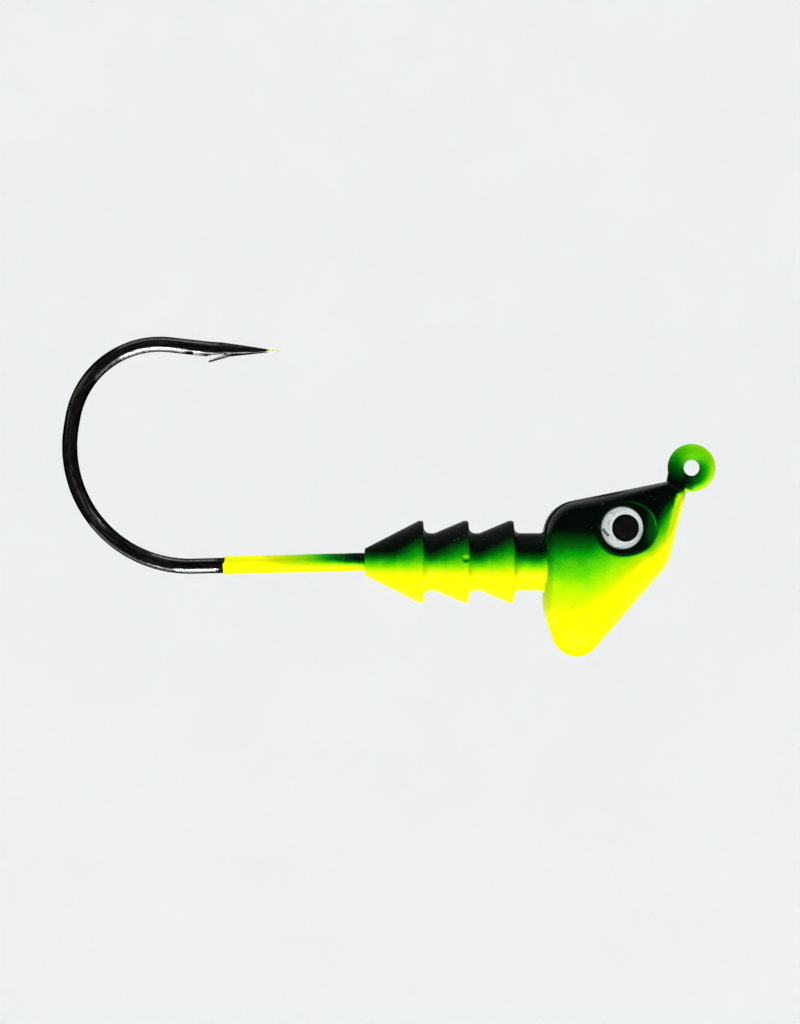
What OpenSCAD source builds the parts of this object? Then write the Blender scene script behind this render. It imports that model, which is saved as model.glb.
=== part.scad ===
// Jig head: a triangular fish-head casting with a barbed bait keeper, poured round a round-bend hook.
// Millimetres. The origin is the centre of the line tie, +X runs forward, +Z towards the hook's point,
// and the hook's wire lies in the plane y = 0, which is also the mould's parting plane.

/* [Hook wire] */
// Diameter of the hook's wire
wire_d = 1.45; // [1.1:0.05:1.7]
// Height of the line tie's centre above the shank's axis
shank_drop = 8.94; // [7.4:0.02:10.8]
// Free shank between the keeper's small end and the bend
shank_free = 15.46; // [12:0.1:22]
// Downward lean of the free shank, in degrees
shank_lean = 1.46; // [0.4:0.02:4]
// Radius of the set that starts the lean
lean_r = 40; // [20:1:80]

/* [Hook bend] */
// Radius of the bend from the shank to the back of the hook
bend_low_r = 11.4; // [9:0.1:14]
// Angle of the lower bend
bend_low_turn = 101.2; // [96:0.2:106]
// Straight length at the back of the hook, between the two bends
bend_flat = 0.8; // [0.4:0.1:3]
// Radius of the bend from the back of the hook to the spear
bend_top_r = 8.4; // [6.8:0.1:10]
// Angle of the upper bend
bend_top_turn = 86.7; // [82:0.1:92]
// Straight part of the spear behind the point
spear_len = 3.5; // [2.6:0.1:6]
// Radius of the outward set of the point
point_set_r = 15; // [10:1:30]
// Angle of the outward set of the point
point_set = 5.3; // [1:0.1:8]
// Length of the tapered point
point_len = 5.6; // [4:0.1:8]
// Diameter of the tip
point_tip_d = 0.08; // [0.04:0.02:0.2]

/* [Barb] */
// Length of the barb from its free tip to where it leaves the wire
barb_len = 2.4; // [1.6:0.1:3]
// Distance of the barb's free tip below the wire
barb_lift = 0.48; // [0.25:0.01:0.8]
// Depth of the cut that raised the barb
barb_cut = 0.38; // [0.2:0.01:0.5]
// Width of the barb across the wire
barb_w = 0.9; // [0.5:0.05:1.05]

/* [Line tie] */
// Clear hole through the painted ring
tie_hole_d = 1.52; // [1.2:0.02:2.2]
// Diameter of the wire in the ring, which is drawn thinner than the shank
tie_wire_d = 1.3; // [1:0.05:1.6]
// Depth that the clearing pin cuts into the paint inside the ring
tie_land_cut = 0.04; // [0.02:0.01:0.06]
// Angle of the neck of wire above the shank's axis
neck_angle = 58; // [45:1:70]
// Radius of the bend from the neck to the shank, inside the head
neck_bend_r = 3; // [2:0.1:4]

/* [Head outline] */
// Distance from the line tie's centre to the end of the nose, along the neck
nose_reach = 2.35; // [2.3:0.01:3]
// Width of the nose above the neck's axis
nose_over = 1.1; // [0.8:0.05:1.4]
// Width of the nose below the neck's axis
nose_under = 0.63; // [0.5:0.01:1]
// Distance from the line tie back to the head's flat back
head_back = 13.9; // [11:0.1:17]
// Rise of the head's top line towards the nose, in degrees
brow_angle = 11.5; // [6:0.5:16]
// Height of the front of the face
face_h = 6.8; // [5.5:0.1:8.2]
// Slope of the front of the face
face_angle = 75.8; // [70:0.2:84]
// Height of the jaw line, to the chin's sharp corner
jaw_h = 10.7; // [9:0.05:13.5]
// Slope of the jaw line
jaw_angle = 48.4; // [42:0.2:54]
// Height of the flat back above where the throat starts
back_h = 9.7; // [8:0.1:11]
// Corner radii of the outline: back, nose top, nose front, face, chin, throat
corner_r = [3.2, 0.4, 0.5, 3.8, 2.1, 8]; // [0.3:0.1:9]

/* [Head thickness] */
// Greatest half-thickness of the casting, at the flat back
cheek_half = 4.4; // [3.8:0.05:5.2]
// Share of the half-thickness lost at the nose
nose_taper = 0.58; // [0.4:0.01:0.7]
// Share of the half-thickness lost at the chin
chin_taper = 0.66; // [0.4:0.01:0.75]
// Width of the rounded edge at each corner: back, nose top, nose front, face, chin, throat
edge_w = [0.9, 0.7, 0.8, 2.6, 4.2, 1]; // [0.5:0.1:5]

/* [Bait keeper] */
// Length of the keeper behind the head
keeper_len = 17.02; // [14:0.02:21]
// Diameter of the keeper's core
core_d = 5.2; // [4.4:0.1:5.8]
// Diameter over the barbs
keeper_d = 7.56; // [6.6:0.02:9]
// Diameter of the small end
tail_d = 2.28; // [2:0.02:3]
// Number of barbs
barb_count = 3; // [2:1:3]
// Distance from the head's back to the first barb's rim
first_rim = 3.4; // [2.6:0.1:4.2]
// Distance between barbs
barb_pitch = 4.28; // [3.9:0.02:4.9]
// Length of a barb's cone
cone_run = 2.85; // [2:0.05:3]
// Width of a barb's rim
rim_w = 0.28; // [0.2:0.02:0.5]
// Radius where a barb's steep face meets the core
root_r = 0.75; // [0.4:0.05:0.9]

/* [Paint] */
// Thickness of the baked powder paint
coat_t = 0.13; // [0.08:0.01:0.16]
// Painted length of the free shank
paint_run = 13.6; // [9:0.1:14]

/* [Eyes] */
// Diameter of the stick-on eye
eye_d = 4; // [3.4:0.1:4.4]
// Distance of the eye's centre behind the line tie
eye_back = 6.9; // [6.2:0.01:7.4]
// Distance of the eye's centre below the line tie
eye_drop = 5.69; // [5.4:0.01:6.4]
// Distance of the painted rim of the eye's boss from the middle plane
eye_out = 4.4; // [4.2:0.05:5.3]
// Turn of the eye towards the nose, in degrees
eye_yaw = 7; // [0:1:12]
// Clearance round the eye in its socket
eye_gap = 0.1; // [0.05:0.01:0.2]
// Depth of the painted socket
socket_depth = 0.45; // [0.3:0.05:0.7]
// Width of the rim between the socket and the edge of the boss's face
boss_wall = 0.32; // [0.3:0.02:0.6]
// Offset of the boss's front end towards the nose
boss_fwd = 0.98; // [0.8:0.02:1.2]
// Diameter of the boss's front end
boss_front_d = 4.4; // [4:0.1:4.8]
// Flare of the boss's side, in degrees
boss_flare = 25; // [10:1:30]
// Height of the flared side
boss_rise = 1.2; // [0.8:0.1:1.6]
// Thickness of the adhesive pad
pad_t = 0.12; // [0.08:0.01:0.2]
// Thickness of the silver foil
foil_t = 0.08; // [0.05:0.01:0.15]
// Diameter of the black pupil
pupil_d = 2.45; // [1.8:0.05:2.9]
// Offset of the pupil towards the nose
pupil_fwd = 0.3; // [0:0.05:0.35]
// Thickness of the pupil's ink
ink_t = 0.04; // [0.02:0.01:0.08]
// Height of the clear dome above the foil
dome_h = 0.85; // [0.6:0.05:1.2]

/* [Hidden] */
$fn = 48;

// the ring's wire runs so that the clearing pin leaves a short straight land in the paint
tie_r = tie_hole_d / 2 + tie_wire_d / 2 + coat_t - tie_land_cut;
// direction of the neck, from the ring down into the head
neck_heading = 180 + neck_angle;
neck_dir = [cos(neck_heading), sin(neck_heading)];
nose_dir = [neck_dir[1], -neck_dir[0]];
neck_len = (shank_drop - tie_r * sin(neck_angle) - neck_bend_r * (1 - cos(neck_angle)))
    / sin(neck_angle);
// x of the keeper's small end, and of the end of the neck's bend
keeper_end = -head_back - keeper_len;
neck_foot = -(tie_r + neck_len) * cos(neck_angle) - neck_bend_r * sin(neck_angle);
lean_run = lean_r * shank_lean * PI / 180;

// a run of wire is a list of [length, 0] for straights and [radius, turn] for bends, left turns positive
neck_run = [[neck_len, 0], [neck_bend_r, -neck_angle], [neck_foot - keeper_end, 0], [lean_r, shank_lean]];
hook_run = concat(neck_run, [[shank_free, 0], [bend_low_r, -bend_low_turn], [bend_flat, 0],
    [bend_top_r, -bend_top_turn], [spear_len, 0], [point_set_r, point_set]]);
paint_wire_run = concat(neck_run, [[paint_run - lean_run, 0]]);

// corners of the head's outline before rounding
nose_mid = neck_dir * nose_reach;
nose_top = nose_mid + nose_dir * nose_over;
nose_front = nose_mid - nose_dir * nose_under;
brow_back = [-head_back, nose_top[1] - (nose_top[0] + head_back) * tan(brow_angle)];
face_foot = nose_front - [face_h / tan(face_angle), face_h];
chin = face_foot - [jaw_h / tan(jaw_angle), jaw_h];
throat = [-head_back, brow_back[1] - back_h];
head_corners = [brow_back, nose_top, nose_front, face_foot, chin, throat];
// where the cheek starts to thin towards the nose and towards the chin, the lowest point of the rounded chin,
// and the middle that all sections close on
taper_x = -head_back * 0.72;
taper_z = -shank_drop * 0.62;
chin_z = chin[1] + 2.2;
head_mid = [-head_back * 0.6, -shank_drop * 0.86];
arc_steps = 4;
side_step = 1.7;
edge_steps = 4;
cheek_steps = 3;

dome_r = (pow(eye_d / 2, 2) + pow(dome_h, 2)) / (2 * dome_h);
boss_depth = 2.6;
// how much thicker a straight is than a bend, which thins as it is bent, and how far it laps over
hair = 0.01;
lap = 0.02;

function unit(v) = v / norm(v);
function left_of(v) = [-v[1], v[0]];
function at(list, i) = list[(i + len(list)) % len(list)];

// a corner moved outwards by g, for an outline that runs clockwise
function grown(c, i, g) =
    let (u = left_of(unit(c[i] - at(c, i - 1))), v = left_of(unit(at(c, i + 1) - c[i])))
    c[i] + g * (u + v) / (1 + u * v);

// points of one rounded corner, each [x, z, edge width]
function corner_arc(c, i, r, e) =
    let (
        u = unit(at(c, i - 1) - c[i]),
        v = unit(at(c, i + 1) - c[i]),
        half = acos(u * v) / 2,
        mid = c[i] + unit(u + v) * r / sin(half),
        a0 = atan2(-(mid - c[i] - u * r / tan(half))[1], -(mid - c[i] - u * r / tan(half))[0]),
        sweep = 180 - 2 * half
    )
    [for (k = [0 : arc_steps]) let (a = a0 - sweep * k / arc_steps) [mid[0] + r * cos(a), mid[1] + r * sin(a), e]];

// points strictly between the ends of a straight side
function side_between(p, q) =
    let (n = ceil(norm([q[0] - p[0], q[1] - p[1]]) / side_step))
    n < 2 ? [] : [for (k = [1 : n - 1]) p + (q - p) * k / n];

function head_outline(g) =
    let (
        c = [for (i = [0 : 5]) grown(head_corners, i, g)],
        arcs = [for (i = [0 : 5]) corner_arc(c, i, corner_r[i] + g, edge_w[i] + g)]
    )
    [for (i = [0 : 5]) each concat(arcs[i], side_between(arcs[i][arc_steps], at(arcs, i + 1)[0]))];

// half-thickness of the cheek at a point of the outline's plane
function cheek(p, g) =
    let (
        u = max(0, (p[0] - taper_x) / (nose_front[0] - taper_x)),
        v = max(0, (taper_z - p[1]) / (taper_z - chin_z))
    )
    g + cheek_half * (1 - nose_taper * u * u) * (1 - chin_taper * v * v);

// the spoke of points from the parting plane over the rounded edge and across the cheek, on one side
function spoke(p, g, side) =
    let (xz = [p[0], p[1]], d = unit(head_mid - xz), q = xz + d * p[2], h = cheek(q, g))
    concat(
        [for (k = [1 : edge_steps]) let (a = 90 * k / edge_steps, s = xz + d * p[2] * (1 - cos(a)))
            [s[0], side * h * sin(a), s[1]]],
        [for (k = [1 : cheek_steps]) let (s = q + (head_mid - q) * k / (cheek_steps + 1))
            [s[0], side * cheek(s, g), s[1]]]);

// the head's bare body, grown by g on every face
module head_body(g = 0) {
    rim = head_outline(g);
    n = len(rim);
    m = edge_steps + cheek_steps;
    right = [for (p = rim) each spoke(p, g, -1)];
    left = [for (p = rim) each spoke(p, g, 1)];
    mids = [[head_mid[0], -cheek(head_mid, g), head_mid[1]], [head_mid[0], cheek(head_mid, g), head_mid[1]]];
    points = concat([for (p = rim) [p[0], 0, p[1]]], right, left, mids);
    last = len(points);
    // index of point j of spoke i: 0 on the parting plane, m nearest the middle
    function r_at(i, j) = j == 0 ? i % n : n + (i % n) * m + j - 1;
    function l_at(i, j) = j == 0 ? i % n : n + n * m + (i % n) * m + j - 1;
    faces = concat(
        [for (i = [0 : n - 1], j = [0 : m - 1]) each [
            [r_at(i, j), r_at(i + 1, j + 1), r_at(i, j + 1)], [r_at(i, j), r_at(i + 1, j), r_at(i + 1, j + 1)],
            [l_at(i, j), l_at(i, j + 1), l_at(i + 1, j + 1)], [l_at(i, j), l_at(i + 1, j + 1), l_at(i + 1, j)]]],
        [for (i = [0 : n - 1]) each [
            [r_at(i, m), r_at(i + 1, m), last - 2], [l_at(i, m), last - 1, l_at(i + 1, m)]]]);
    polyhedron(points, faces, convexity = 4);
}

// half section of the keeper: x is the radius and y the distance behind the head's back
module keeper_profile(g = 0) {
    core_r = core_d / 2 + g;
    rims = [for (k = [0 : barb_count - 1]) first_rim + barb_pitch * k];
    root = root_r - g;
    polygon(concat(
        [[0, -1], [core_r, -1]],
        [for (k = [0 : barb_count - 1]) let (y = rims[k]) each concat(
            [[core_r, y - rim_w - g], [keeper_d / 2 + g, y - rim_w - g], [keeper_d / 2 + g, y + g / 2]],
            k < barb_count - 1 ? [[core_r, y + cone_run]] : [])],
        [[tail_d / 2 + g, keeper_len + g], [0, keeper_len + g]]));
    for (y = rims)
        difference() {
            translate([core_r - root, y - rim_w - g - root]) square([2 * root, root]);
            translate([core_r + root, y - rim_w - g - root]) circle(r = root);
        }
}

module keeper(g = 0) {
    translate([-head_back, 0, -shank_drop]) rotate([0, -90, 0]) rotate_extrude() keeper_profile(g);
}

// a run of round wire along +X that turns in the XY plane, where straights and bends take turns: a straight is a
// hair thicker than a bend, and laps over the ends of its neighbours
module wire(run, d, i = 0) {
    size = run[i][0];
    turn = run[i][1];
    if (turn == 0)
        translate([-lap, 0, 0]) rotate([0, 90, 0]) cylinder(h = size + 2 * lap, d = d + hair);
    else
        mirror([0, turn < 0 ? 1 : 0, 0]) translate([0, size, 0]) rotate([0, 0, -90])
            rotate_extrude(angle = abs(turn), $fn = 120) translate([size, 0]) circle(d = d, $fn = 24);
    if (i < len(run) - 1)
        past(run[i]) wire(run, d, i + 1);
}

// children placed at the end of one straight or bend
module past(piece) {
    size = piece[0];
    turn = piece[1];
    end = turn == 0 ? [size, 0] : [size * sin(abs(turn)), sign(turn) * size * (1 - cos(turn))];
    translate([end[0], end[1], 0]) rotate([0, 0, turn]) children();
}

// children placed at the end of a whole run
module past_all(run, i = 0) {
    past(run[i])
        if (i < len(run) - 1)
            past_all(run, i + 1) children();
        else
            children();
}

// the hook's plane stood upright, starting down the neck from the ring
module from_ring() {
    rotate([90, 0, 0]) rotate([0, 0, neck_heading]) translate([tie_r, 0, 0]) children();
}

module tie_ring(d) {
    rotate([90, 0, 0]) rotate_extrude($fn = 72) translate([tie_r, 0]) circle(d = d, $fn = 24);
}

// everything below is in the frame of the point: x towards the tip, -y towards the shank
barb_root = barb_len / 2;
barb_tip = [barb_root - barb_len, -wire_d / 2 - barb_lift];
cut_end = [barb_root - barb_len * 0.28, -wire_d / 2 + barb_cut];
module barb_notch() {
    translate([0, 0, -wire_d]) linear_extrude(2 * wire_d)
        polygon([[barb_tip[0] - barb_cut * 2, -wire_d / 2], cut_end,
            [cut_end[0], -wire_d], [barb_tip[0] - barb_cut * 2, -wire_d]]);
}
module barb_sliver() {
    translate([0, 0, -barb_w / 2]) linear_extrude(barb_w)
        polygon([barb_tip, [barb_root, -wire_d * 0.36], [cut_end[0] + barb_cut / 2, 0], cut_end]);
}

module hook_point() {
    translate([-lap, 0, 0]) rotate([0, 90, 0]) cylinder(h = point_len + lap, d1 = wire_d + hair, d2 = point_tip_d);
}

module hook() {
    color([0.17, 0.17, 0.19]) {
        difference() {
            union() {
                tie_ring(tie_wire_d);
                from_ring() wire(hook_run, wire_d);
                from_ring() past_all(hook_run) hook_point();
            }
            from_ring() past_all(hook_run) barb_notch();
        }
        from_ring() past_all(hook_run) barb_sliver();
    }
}

// the middle of the right eye's painted rim, with +Z straight out of the eye and +X towards the nose
module at_eye() {
    translate([-eye_back, -eye_out, -eye_drop]) rotate([0, 0, eye_yaw]) rotate([90, 0, 0]) children();
}

module on_left() {
    mirror([0, 1, 0]) children();
}

module both_sides() {
    children();
    mirror([0, 1, 0]) children();
}

// one flared round of the eye's boss, with radius r at its painted rim
module boss_round(fwd, r, g) {
    top = r - (coat_t - g) * tan(boss_flare / 2);
    foot = top + boss_rise * tan(boss_flare);
    at_eye() translate([fwd, 0, g - coat_t]) {
        translate([0, 0, -boss_rise]) cylinder(h = boss_rise, r1 = foot, r2 = top);
        translate([0, 0, -boss_depth]) cylinder(h = boss_depth - boss_rise, r = foot);
    }
}

// the raised boss, one round about the eye and one ahead of it: g is 0 for the casting and coat_t for its paint
module eye_boss(g = 0) {
    boss_round(0, eye_d / 2 + eye_gap + boss_wall, g);
    boss_round(boss_fwd, boss_front_d / 2, g);
}

module eye_socket(g = 0) {
    wall = coat_t - g;
    at_eye() translate([0, 0, -socket_depth - wall])
        cylinder(h = socket_depth + wall + 1, d = eye_d + 2 * eye_gap + 2 * wall);
}

module casting_shape(g = 0) {
    head_body(g);
    keeper(g);
    both_sides() eye_boss(g);
}

module lead_head() {
    color([0.56, 0.57, 0.59]) difference() {
        casting_shape();
        both_sides() eye_socket(0);
        from_ring() wire(neck_run, wire_d);
    }
}

module paint_coat() {
    color([0.72, 0.9, 0.1]) difference() {
        union() {
            casting_shape(coat_t);
            tie_ring(tie_wire_d + 2 * coat_t);
            from_ring() wire(paint_wire_run, wire_d + 2 * coat_t);
        }
        both_sides() eye_socket(coat_t);
        difference() {
            casting_shape();
            both_sides() eye_socket(0);
        }
        tie_ring(tie_wire_d);
        from_ring() wire(concat(neck_run, [[paint_run, 0]]), wire_d);
        rotate([90, 0, 0]) cylinder(h = 4, d = tie_hole_d, center = true);
    }
}

module eye_pad() {
    color([0.85, 0.85, 0.8]) at_eye() translate([0, 0, -socket_depth]) cylinder(h = pad_t, d = eye_d);
}

module eye_foil() {
    color([0.8, 0.82, 0.82]) at_eye() translate([0, 0, pad_t - socket_depth]) cylinder(h = foil_t, d = eye_d);
}

module eye_pupil() {
    color([0.02, 0.02, 0.02]) at_eye()
        translate([pupil_fwd, 0, pad_t + foil_t - socket_depth]) cylinder(h = ink_t, d = pupil_d);
}

module eye_dome() {
    color([0.9, 0.95, 0.95, 0.4]) at_eye() translate([0, 0, pad_t + foil_t - socket_depth]) difference() {
        intersection() {
            translate([0, 0, dome_h - dome_r]) sphere(r = dome_r, $fn = 72);
            cylinder(h = dome_h, d = eye_d + 1);
        }
        translate([pupil_fwd, 0, -1]) cylinder(h = ink_t + 1, d = pupil_d);
    }
}

hook();
lead_head();
paint_coat();
on_left() eye_pad();  // left_eye_pad
on_left() eye_foil();  // left_eye_foil
on_left() eye_pupil();  // left_eye_pupil
on_left() eye_dome();  // left_eye_dome
eye_pad();  // right_eye_pad
eye_foil();  // right_eye_foil
eye_pupil();  // right_eye_pupil
eye_dome();  // right_eye_dome
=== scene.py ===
import math

import bmesh
import bpy
import numpy as np
from mathutils import Matrix, Vector, noise


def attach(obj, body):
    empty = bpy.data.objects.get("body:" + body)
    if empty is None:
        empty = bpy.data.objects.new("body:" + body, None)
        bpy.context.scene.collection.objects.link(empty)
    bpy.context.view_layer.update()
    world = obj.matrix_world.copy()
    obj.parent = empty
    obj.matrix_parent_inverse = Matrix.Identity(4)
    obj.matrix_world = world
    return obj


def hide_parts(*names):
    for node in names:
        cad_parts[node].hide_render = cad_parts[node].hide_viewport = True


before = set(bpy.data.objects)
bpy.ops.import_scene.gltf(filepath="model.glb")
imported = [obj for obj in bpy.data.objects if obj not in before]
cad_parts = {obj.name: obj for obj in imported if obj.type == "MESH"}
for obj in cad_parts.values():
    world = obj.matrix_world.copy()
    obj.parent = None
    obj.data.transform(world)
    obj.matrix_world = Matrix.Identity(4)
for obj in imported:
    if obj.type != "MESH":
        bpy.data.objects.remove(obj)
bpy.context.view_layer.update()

# Pieces are drawn in millimetres and scaled to metres when they are finished.
mm = 0.001
print("frame loaded:", len(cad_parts), "nodes")


def ramp01(low, high, value):
    # 0 at low, 1 at high, eased at both ends; low may be the larger one
    t = np.clip((value - low) / (high - low), 0.0, 1.0)
    return t * t * (3 - 2 * t)


def meshFrom(name, points, faces):
    mesh = bpy.data.meshes.new(name)
    mesh.from_pydata([tuple(p) for p in points], [], faces)
    mesh.update()
    return mesh


def objectFrom(name, mesh):
    piece = bpy.data.objects.new(name, mesh)
    bpy.context.scene.collection.objects.link(piece)
    return piece


def tidyMesh(mesh, merge=1e-4):
    # doubles go first, so that the normals are worked out on closed skins
    work = bmesh.new()
    work.from_mesh(mesh)
    bmesh.ops.remove_doubles(work, verts=work.verts, dist=merge)
    bmesh.ops.dissolve_degenerate(work, edges=work.edges, dist=merge * 0.5)
    loose = [v for v in work.verts if not v.link_faces]
    bmesh.ops.delete(work, geom=loose, context="VERTS")
    bmesh.ops.recalc_face_normals(work, faces=work.faces)
    work.to_mesh(mesh)
    work.free()
    mesh.shade_smooth()


def frozen(piece):
    # the modifiers' result as a plain mesh
    graph = bpy.context.evaluated_depsgraph_get()
    mesh = bpy.data.meshes.new_from_object(piece.evaluated_get(graph), depsgraph=graph)
    piece.modifiers.clear()
    piece.data = mesh
    return piece


def vertexArray(mesh):
    flat = np.zeros(len(mesh.vertices) * 3)
    mesh.vertices.foreach_get("co", flat)
    return flat.reshape(-1, 3)


def moveVertices(mesh, places):
    mesh.vertices.foreach_set("co", places.ravel())
    mesh.update()


def noiseAt(*columns):
    # one value of the noise field for each row of the three columns
    return np.array([noise.noise(Vector(row)) for row in zip(*np.broadcast_arrays(*columns))])


def distancesAlong(places):
    return np.concatenate([[0], np.cumsum(np.linalg.norm(np.diff(places, axis=0), axis=1))])


def tubeFaces(layers, sides):
    # the skin between rings of points that follow each other
    faces = []
    for j in range(layers - 1):
        for k in range(sides):
            a, b = j * sides + k, j * sides + (k + 1) % sides
            faces.append((a, b, b + sides, a + sides))
    return faces


def storeTone(mesh, attributeName, values):
    layer = mesh.attributes.get(attributeName)
    if layer is None:
        layer = mesh.attributes.new(attributeName, "FLOAT", "POINT")
    layer.data.foreach_set("value", np.asarray(values, np.float32))


def setPiece(piece, material, slotName, *nodeNames):
    piece.data.transform(Matrix.Scale(mm, 4))
    piece.data.materials.clear()
    piece.data.materials.append(material)
    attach(piece, "root")
    if nodeNames:
        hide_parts(*nodeNames)
    print("piece", piece.name, len(piece.data.polygons), "faces")
    return piece


cameraSetup = {
    "lens": 100.0,
    "sensor": 36.0,  # along the picture's tall side
    "middle": (-27.7, -4.2),  # x and z of the picture's centre
    "tall": 97.3,  # height of the picture at the wire's plane
}


def placeCamera(setup):
    data = bpy.data.cameras.new("camera")
    data.lens = setup["lens"]
    data.sensor_fit = "AUTO"
    data.sensor_width = setup["sensor"]
    data.clip_start = 0.001
    data.clip_end = 5.0
    camera = bpy.data.objects.new("camera", data)
    bpy.context.scene.collection.objects.link(camera)
    away = setup["tall"] * setup["lens"] / setup["sensor"]
    camera.location = Vector((setup["middle"][0], -away, setup["middle"][1])) * mm
    camera.rotation_euler = (math.radians(90), 0, 0)
    bpy.context.scene.camera = camera
    return camera


placeCamera(cameraSetup)
print("camera placed")


def newMaterial(name):
    material = bpy.data.materials.new(name)
    material.use_nodes = True
    tree = material.node_tree
    tree.nodes.clear()
    out = tree.nodes.new("ShaderNodeOutputMaterial")
    shader = tree.nodes.new("ShaderNodeBsdfPrincipled")
    tree.links.new(shader.outputs[0], out.inputs[0])
    return material, tree, shader


def mathNode(tree, operation, a, b=None, c=None, clamp=False):
    node = tree.nodes.new("ShaderNodeMath")
    node.operation = operation
    node.use_clamp = clamp
    for index, value in enumerate((a, b, c)):
        if value is None:
            continue
        if isinstance(value, (int, float)):
            node.inputs[index].default_value = value
        else:
            tree.links.new(value, node.inputs[index])
    return node.outputs[0]


def millimetres(tree):
    # object coordinates counted in millimetres
    where = tree.nodes.new("ShaderNodeTexCoord")
    scale = tree.nodes.new("ShaderNodeVectorMath")
    scale.operation = "SCALE"
    scale.inputs["Scale"].default_value = 1000.0
    tree.links.new(where.outputs["Object"], scale.inputs[0])
    return scale.outputs[0]


def noiseNode(tree, vector, scale, detail=3.0, rough=0.5, warp=0.0):
    node = tree.nodes.new("ShaderNodeTexNoise")
    node.inputs["Scale"].default_value = scale
    node.inputs["Detail"].default_value = detail
    node.inputs["Roughness"].default_value = rough
    node.inputs["Distortion"].default_value = warp
    tree.links.new(vector, node.inputs["Vector"])
    return node.outputs[0]


def rampNode(tree, value, stops):
    node = tree.nodes.new("ShaderNodeValToRGB")
    tree.links.new(value, node.inputs[0])
    ramp = node.color_ramp
    while len(ramp.elements) > 1:
        ramp.elements.remove(ramp.elements[-1])
    ramp.elements[0].position = stops[0][0]
    ramp.elements[0].color = (*stops[0][1], 1.0)
    for place, colour in stops[1:]:
        element = ramp.elements.new(place)
        element.color = (*colour, 1.0)
    return node.outputs[0]


def ramped(tree, value, low, high):
    # 0 at low, 1 at high, eased; low may be the larger one
    node = tree.nodes.new("ShaderNodeMapRange")
    node.interpolation_type = "SMOOTHSTEP"
    node.clamp = True
    if low <= high:
        ends = (low, high, 0.0, 1.0)
    else:
        ends = (high, low, 1.0, 0.0)
    tree.links.new(value, node.inputs["Value"])
    for name, number in zip(("From Min", "From Max", "To Min", "To Max"), ends):
        node.inputs[name].default_value = number
    return node.outputs[0]


def mixNode(tree, factor, first, second):
    # each colour is a socket or three numbers
    node = tree.nodes.new("ShaderNodeMix")
    node.data_type = "RGBA"
    tree.links.new(factor, node.inputs["Factor"])
    for name, value in (("A", first), ("B", second)):
        if isinstance(value, tuple):
            node.inputs[name].default_value = (*value, 1.0)
        else:
            tree.links.new(value, node.inputs[name])
    return node.outputs["Result"]


def splitNode(tree, vector):
    node = tree.nodes.new("ShaderNodeSeparateXYZ")
    tree.links.new(vector, node.inputs[0])
    return node.outputs


def grey(value):
    return (value, value, value)


def bumpNode(tree, height, distance, strength=1.0, before=None):
    node = tree.nodes.new("ShaderNodeBump")
    node.inputs["Strength"].default_value = strength
    node.inputs["Distance"].default_value = distance
    tree.links.new(height, node.inputs["Height"])
    if before is not None:
        tree.links.new(before, node.inputs["Normal"])
    return node.outputs[0]


def attributeNode(tree, name):
    node = tree.nodes.new("ShaderNodeAttribute")
    node.attribute_type = "GEOMETRY"
    node.attribute_name = name
    return node


eye = {
    "back": 6.90,  # from the line tie back to the eye's middle
    "drop": 5.69,
    "out": 4.40,
    "yaw": 7.0,  # turned a little towards the nose, in degrees
    "d": 4.0,
    "gap": 0.10,  # round the eye in its socket
    "depth": 0.45,
    "bossWall": 0.32,
    "bossFwd": 0.98,  # the boss's second round stands this far ahead
    "frontD": 4.4,
    "flare": 25.0,
    "stack": 0.20,  # pad and foil under the dome
    "domeH": 0.85,
}

paintLook = {
    # spray tone, with painted highlights and shade added on the eye boss's rim and the keeper's pip: 0 is
    # the bare fluorescent base coat, 1 the full black back
    "stops": [
        (0.00, (0.640, 0.635, 0.0005)),
        (0.08, (0.430, 0.500, 0.0004)),
        (0.25, (0.262, 0.500, 0.0002)),
        (0.36, (0.088, 0.430, 0.0004)),
        (0.50, (0.0025, 0.235, 0.0015)),
        (0.62, (0.0008, 0.080, 0.0018)),
        (0.75, (0.0004, 0.034, 0.0016)),
        (0.90, (0.0003, 0.0040, 0.0010)),
        (1.00, (0.0003, 0.0010, 0.0005)),
    ],
    # emission by tone: a painted glow that keeps the yellow and lime bright in shade
    "glow": [(0.0, grey(0.30)), (0.10, grey(0.14)), (0.30, grey(0.04)), (0.5, grey(0.0))],
    "roughness": 0.33,
    "shine": 0.022,
    "sheen": (0.45, 0.90, 0.55),
    "orangePeel": 0.010,  # depth of the baked powder's ripple
    "partingLine": 0.030,  # height of the mould's flash under the paint
    "dust": 0.05,
    "dustColour": (0.55, 0.62, 0.50),
}


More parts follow.
